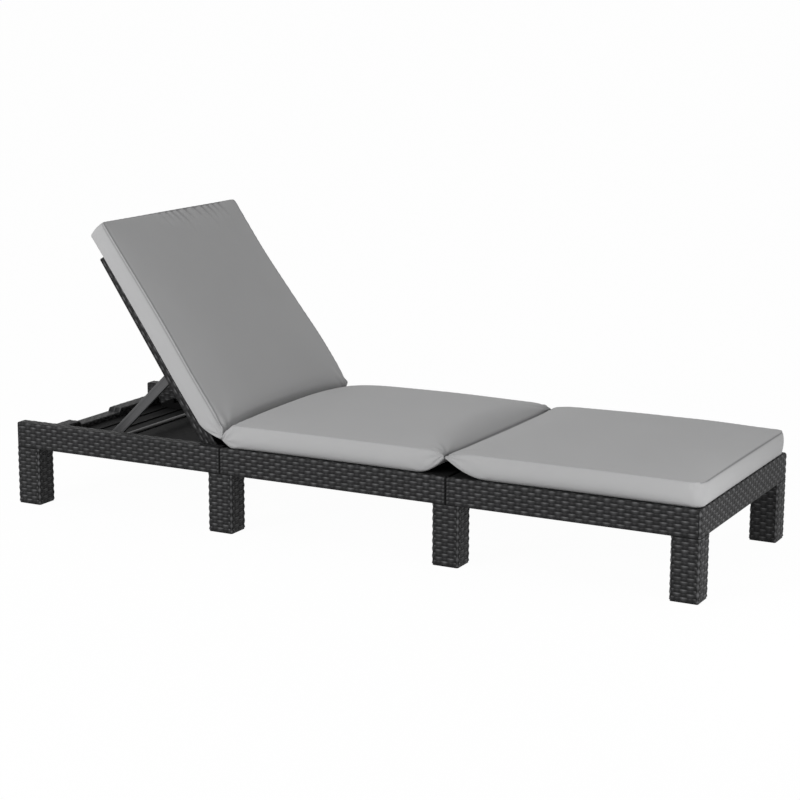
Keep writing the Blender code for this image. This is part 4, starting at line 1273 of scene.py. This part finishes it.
def back_pad(cushion, weave):
    """The back section, lying flat with its origin on the cushion's fold axis."""
    return Pad(
        "cushion_back_cover",
        TRAY[0].x + BACK_SETBACK - FOLD_AXIS.x,
        SEAT_DECK[0].x - SEAM_HALF - HIP_GAP - FOLD_AXIS.x,
        DECK_TOP + TOUCH - FOLD_AXIS.z,
        cushion.back_border,
        (cushion.crown, cushion.hip_crown),
        high_fold=(2 * FOLD_AXIS.z - 2 * DECK_TOP - HIP_RISE, BACK_HIP_TAPERS),
        body="back_cushion",
        axis=np.array(FOLD_AXIS),
        turn=LEANED,
        corner=HEAD_CORNER,
        low_edge=BACK_LOW_EDGE,
        head_border=cushion.head_border,
        clearance=weave.gap + weave.rail_depth + TOUCH,
        seams=(1.0, 1.0),
        seam_drop=BACK_SEAM_DROP,
        shoulder=BACK_SHOULDER,
        flare=FLARE_SHARE,
        lean=LEAN,
        gathered=True,
    )


FOLD_LAP = 0.006
FOLD_STEPS, FOLD_ROWS = 9, 81
FOLD_PINCH_SHARE = 0.25
FOLD_END_SHARE, FOLD_END_REACH = 2.0, 0.010


def fold_strip(name, start, end, half, material):
    """A thin sewn strip between the ends of two sections: a flat tube across the cushion.

    Across the width it is straight; along X it runs from start to end, lapping both. It is
    thinner midway, as a half sine, and thicker at both sides, as a falling exponential.
    """
    way = np.array(end) - np.array(start)
    size = np.linalg.norm(way)
    way = way / size
    up = np.array((-way[2], 0.0, way[0]))
    t = np.linspace(-FOLD_LAP, size + FOLD_LAP, FOLD_STEPS)
    middle = np.array(start) + way * t[:, None]
    pinch = FOLD_PINCH_SHARE * np.sin(np.pi * np.linspace(0, 1, FOLD_STEPS))
    thick = up * (FOLD_THICKNESS / 2 * (1 - pinch))[:, None]
    thick = np.concatenate([thick, -thick[::-1]])
    y = np.linspace(-half, half, FOLD_ROWS)
    fuller = 1 + FOLD_END_SHARE * np.exp(-(half - abs(y)) / FOLD_END_REACH)
    rings = np.concatenate([middle, middle[::-1]]) + thick * fuller[:, None, None]
    rings[..., 1] = y[:, None]
    rings = settled(rings.reshape(-1, 3), half).reshape(rings.shape)
    around = np.linspace(0, 2 * size, rings.shape[1])
    # The whole fold strip takes the seam's painted shade, standing for the shade in the fold's
    # crease
    seam = {"seam": np.ones(rings.shape[:2])}
    piece = ring_piece(name, rings, False, y, around, seam, "cloth")
    piece.data.materials.append(material)
    return piece


def make_folds(seat, foot, back, material):
    """The sewn strips at the knee, on the frame, and at the hip, across the joint."""
    level = seat.bottom + KNEE_RISE
    half = seat.half - DRAWN
    start, end = (seat.high_x, 0, level), (foot.low_x, 0, level)
    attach(fold_strip("fold_knee", start, end, half, material), "root")
    start = back.axis + back.turn @ (back.high_x, 0, back.bottom + back.high_fold[0])
    end = (seat.low_x, 0, seat.bottom + HIP_RISE)
    hip = fold_strip("fold_hip", start, end, half, material)
    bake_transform(hip)


# Stage

SENSOR_WIDTH = 36
CLIP_END = 400
FLOOR_HALF, FLOOR_COLOUR = 120.0, (0.9, 0.9, 0.9)
# Each light's setting, size, place and target
LIGHTS = (
    ("key", 1.6, (-1.9, -4.6, 2.0), (0, 0, 0.3)),
    ("fill", 0.35, (1.95, -0.62, 0.36), (0.9775, -0.25, 0.27)),
)


def make_camera(stage):
    """A camera whose view is turned by yaw about Z, tilted down by pitch and rolled."""
    yaw, pitch, roll = stage.yaw, stage.pitch, stage.roll
    ahead = Vector((-math.sin(yaw), math.cos(yaw), 0)) * math.cos(pitch)
    ahead.z = -math.sin(pitch)
    right = ahead.cross(Vector((0, 0, 1))).normalized()
    up = right.cross(ahead)
    c, s = math.cos(roll), math.sin(roll)
    turn = Matrix((c * right + s * up, c * up - s * right, -ahead)).transposed()
    data = bpy.data.cameras.new("camera")
    data.sensor_width = SENSOR_WIDTH
    data.lens = stage.lens
    data.clip_end = CLIP_END
    camera = bpy.data.objects.new("camera", data)
    camera.matrix_world = Matrix.Translation(stage.camera) @ turn.to_4x4()
    bpy.context.scene.collection.objects.link(camera)
    bpy.context.scene.camera = camera


def seen_directly(graph):
    """1 on camera, glossy and transmission rays, and 0 on the rays that light the object."""
    rays = graph.node("ShaderNodeLightPath").socket.node
    camera, glossy, through = (
        Wire(graph, rays.outputs[name])
        for name in ("Is Camera Ray", "Is Glossy Ray", "Is Transmission Ray")
    )
    return graph.maths("MINIMUM", camera + glossy + through, 1.0)


def make_world(stage):
    """Plain surroundings: white where they are seen, softer where they light the object."""
    world = bpy.data.worlds.new("surroundings")
    world.use_nodes = True
    graph = Graph(world.node_tree)
    background = world.node_tree.nodes["Background"]
    background.inputs["Color"].default_value = (1, 1, 1, 1)
    strength = stage.ambient + (1 - stage.ambient) * seen_directly(graph)
    graph.join(strength, background.inputs["Strength"])
    bpy.context.scene.world = world


FLOOR_SHADOW_SHARE = 0.025


def make_floor():
    """A pale floor that is seen as white and keeps a share of the object's shadow."""
    half = FLOOR_HALF
    corners = [(-half, -half, 0), (half, -half, 0), (half, half, 0), (-half, half, 0)]
    mesh = bpy.data.meshes.new("floor")
    mesh.from_pydata(corners, [], [(0, 1, 2, 3)])
    floor = bpy.data.objects.new("floor", mesh)
    bpy.context.scene.collection.objects.link(floor)
    material = bpy.data.materials.new("floor")
    material.use_nodes = True
    tree = material.node_tree
    tree.nodes.clear()
    graph = Graph(tree)
    pale = graph.node("ShaderNodeBsdfDiffuse", None, {"Color": opaque(FLOOR_COLOUR)})
    white = graph.node("ShaderNodeEmission", None, {"Color": (1, 1, 1, 1), "Strength": 1.0})
    seen = seen_directly(graph) * (1 - FLOOR_SHADOW_SHARE)
    mixed = graph.node("ShaderNodeMixShader", None, {0: seen, 1: pale, 2: white})
    output = tree.nodes.new("ShaderNodeOutputMaterial")
    graph.join(mixed, output.inputs["Surface"])
    mesh.materials.append(material)


def make_lights(stage):
    """A soft main light from the near left, and a low one off the foot's near corner.

    Each is a square area light that faces its target.
    """
    for name, size, place, target in LIGHTS:
        data = bpy.data.lights.new(f"{name}_light", "AREA")
        data.energy = getattr(stage, name)
        data.size = size
        light = bpy.data.objects.new(data.name, data)
        light.location = place
        light.rotation_euler = (Vector(target) - light.location).to_track_quat("-Z", "Y").to_euler()
        bpy.context.scene.collection.objects.link(light)


# Operators and panel


class PieceOperator:
    """What every operator here shares: it builds its pieces or raises an error."""

    bl_options = {"REGISTER", "UNDO"}

    def execute(self, context):
        self.build()
        return {"FINISHED"}


class SkinOperator(PieceOperator):
    """What the woven operators share: each makes its skins with the weave's settings."""

    def build(self):
        self.make(Skin(look("weave")))


class LOUNGER_OT_aprons(SkinOperator, bpy.types.Operator):
    """Weave the skins round the foot and seat sections"""

    bl_idname = "lounger.aprons"
    bl_label = "Woven aprons"
    make = staticmethod(make_aprons)


class LOUNGER_OT_tray(SkinOperator, bpy.types.Operator):
    """Weave the skins of the rear tray's rails and posts"""

    bl_idname = "lounger.tray"
    bl_label = "Woven rails"
    make = staticmethod(make_tray)


class LOUNGER_OT_legs(SkinOperator, bpy.types.Operator):
    """Weave a sleeve round each leg"""

    bl_idname = "lounger.legs"
    bl_label = "Woven legs"
    make = staticmethod(make_legs)


class LOUNGER_OT_panel_skirt(SkinOperator, bpy.types.Operator):
    """Weave the skin round the backrest panel's edge"""

    bl_idname = "lounger.panel_skirt"
    bl_label = "Woven panel skirt"
    make = staticmethod(make_panel_skirt)


def resin_finish(name):
    """One of the plain resin finishes, by its name."""
    resin = look("resin")
    # Deck and tray are one resin: the deck's copy is paler as painted light, the tray's darker as
    # painted shade
    settings = {
        "deck_resin": (resin.deck, DULL, DULL_SHINE),
        "tray_resin": (resin.tray, DULL, DULL_SHINE),
        "bar_resin": (resin.smooth, SATIN, PLAIN_SHINE),
        "pin_resin": (resin.fixing, WORN_SATIN, PLAIN_SHINE),
    }
    return material_of(name, moulded_material, name, *settings[name])


class LOUNGER_OT_prop(PieceOperator, bpy.types.Operator):
    """Make the two arms of the prop"""

    bl_idname = "lounger.prop"
    bl_label = "Prop arms"

    def build(self):
        make_prop_arms(look("resin"), resin_finish("bar_resin"))


NODE_FINISHES = {
    "deck_resin": ("foot_deck", "seat_deck", "backrest_panel", "leg_"),
    "tray_resin": ("rear_tray", "rack_"),
    "bar_resin": ("prop_arm_", "prop_rod"),
    "pin_resin": ("joint_bolt_", "joint_nut_", "hinge_pin_", "prop_pin_"),
}


class LOUNGER_OT_finishes(PieceOperator, bpy.types.Operator):
    """Give every piece of the frame its finish"""

    bl_idname = "lounger.finishes"
    bl_label = "Frame finishes"

    def build(self):
        starts = {resin_finish(name): nodes for name, nodes in NODE_FINISHES.items()}
        cloth = material_of("cover_cloth", cloth_material, look("cushion"))
        starts[cloth] = ("cushion_",)
        for name, node in frame["nodes"].items():
            for material, nodes in starts.items():
                if name.startswith(nodes):
                    node.data.materials.clear()
                    node.data.materials.append(material)


class LOUNGER_OT_cushion(PieceOperator, bpy.types.Operator):
    """Sew the three sections of the cushion and their folds"""

    bl_idname = "lounger.cushion"
    bl_label = "Cushion"

    def build(self):
        cushion = look("cushion")
        make_cushion(cushion, material_of("cover_cloth", cloth_material, cushion))


class LOUNGER_OT_stage(PieceOperator, bpy.types.Operator):
    """Set the camera, floor, surroundings and lights"""

    bl_idname = "lounger.stage"
    bl_label = "Stage"

    def build(self):
        stage = look("stage")
        make_camera(stage)
        make_world(stage)
        make_floor()
        make_lights(stage)
        bpy.context.scene.view_settings.view_transform = "Standard"


OPERATORS = (
    LOUNGER_OT_stage,
    LOUNGER_OT_finishes,
    LOUNGER_OT_aprons,
    LOUNGER_OT_tray,
    LOUNGER_OT_legs,
    LOUNGER_OT_panel_skirt,
    LOUNGER_OT_prop,
    LOUNGER_OT_cushion,
)


class LOUNGER_PT_parts(bpy.types.Panel):
    """Lists the lounger's settings and the operators that build it"""

    bl_label = "Sun lounger"
    bl_idname = "LOUNGER_PT_parts"
    bl_space_type = "VIEW_3D"
    bl_region_type = "UI"
    bl_category = "Lounger"

    def draw(self, context):
        layout = self.layout
        for name in GROUPS:
            box = layout.box()
            box.label(text=name.capitalize())
            group = look(name)
            for key in group.__annotations__:
                box.prop(group, key)
        for operator in OPERATORS:
            layout.operator(operator.bl_idname)


GROUPS = {
    "weave": WeaveSettings,
    "resin": ResinSettings,
    "cushion": CushionSettings,
    "stage": StageSettings,
}


def register():
    for group in GROUPS.values():
        bpy.utils.register_class(group)
    for name, group in GROUPS.items():
        setattr(bpy.types.Scene, f"lounger_{name}", PointerProperty(type=group))
    for operator in OPERATORS:
        bpy.utils.register_class(operator)
    bpy.utils.register_class(LOUNGER_PT_parts)


def unregister():
    bpy.utils.unregister_class(LOUNGER_PT_parts)
    for operator in reversed(OPERATORS):
        bpy.utils.unregister_class(operator)
    for name, group in GROUPS.items():
        delattr(bpy.types.Scene, f"lounger_{name}")
        bpy.utils.unregister_class(group)


def corners(box):
    return [[float(v) for v in corner] for corner in box]


def main():
    register()
    for operator in OPERATORS:
        family, name = operator.bl_idname.split(".")
        getattr(getattr(bpy.ops, family), name)()


if __name__ == "__main__":
    main()
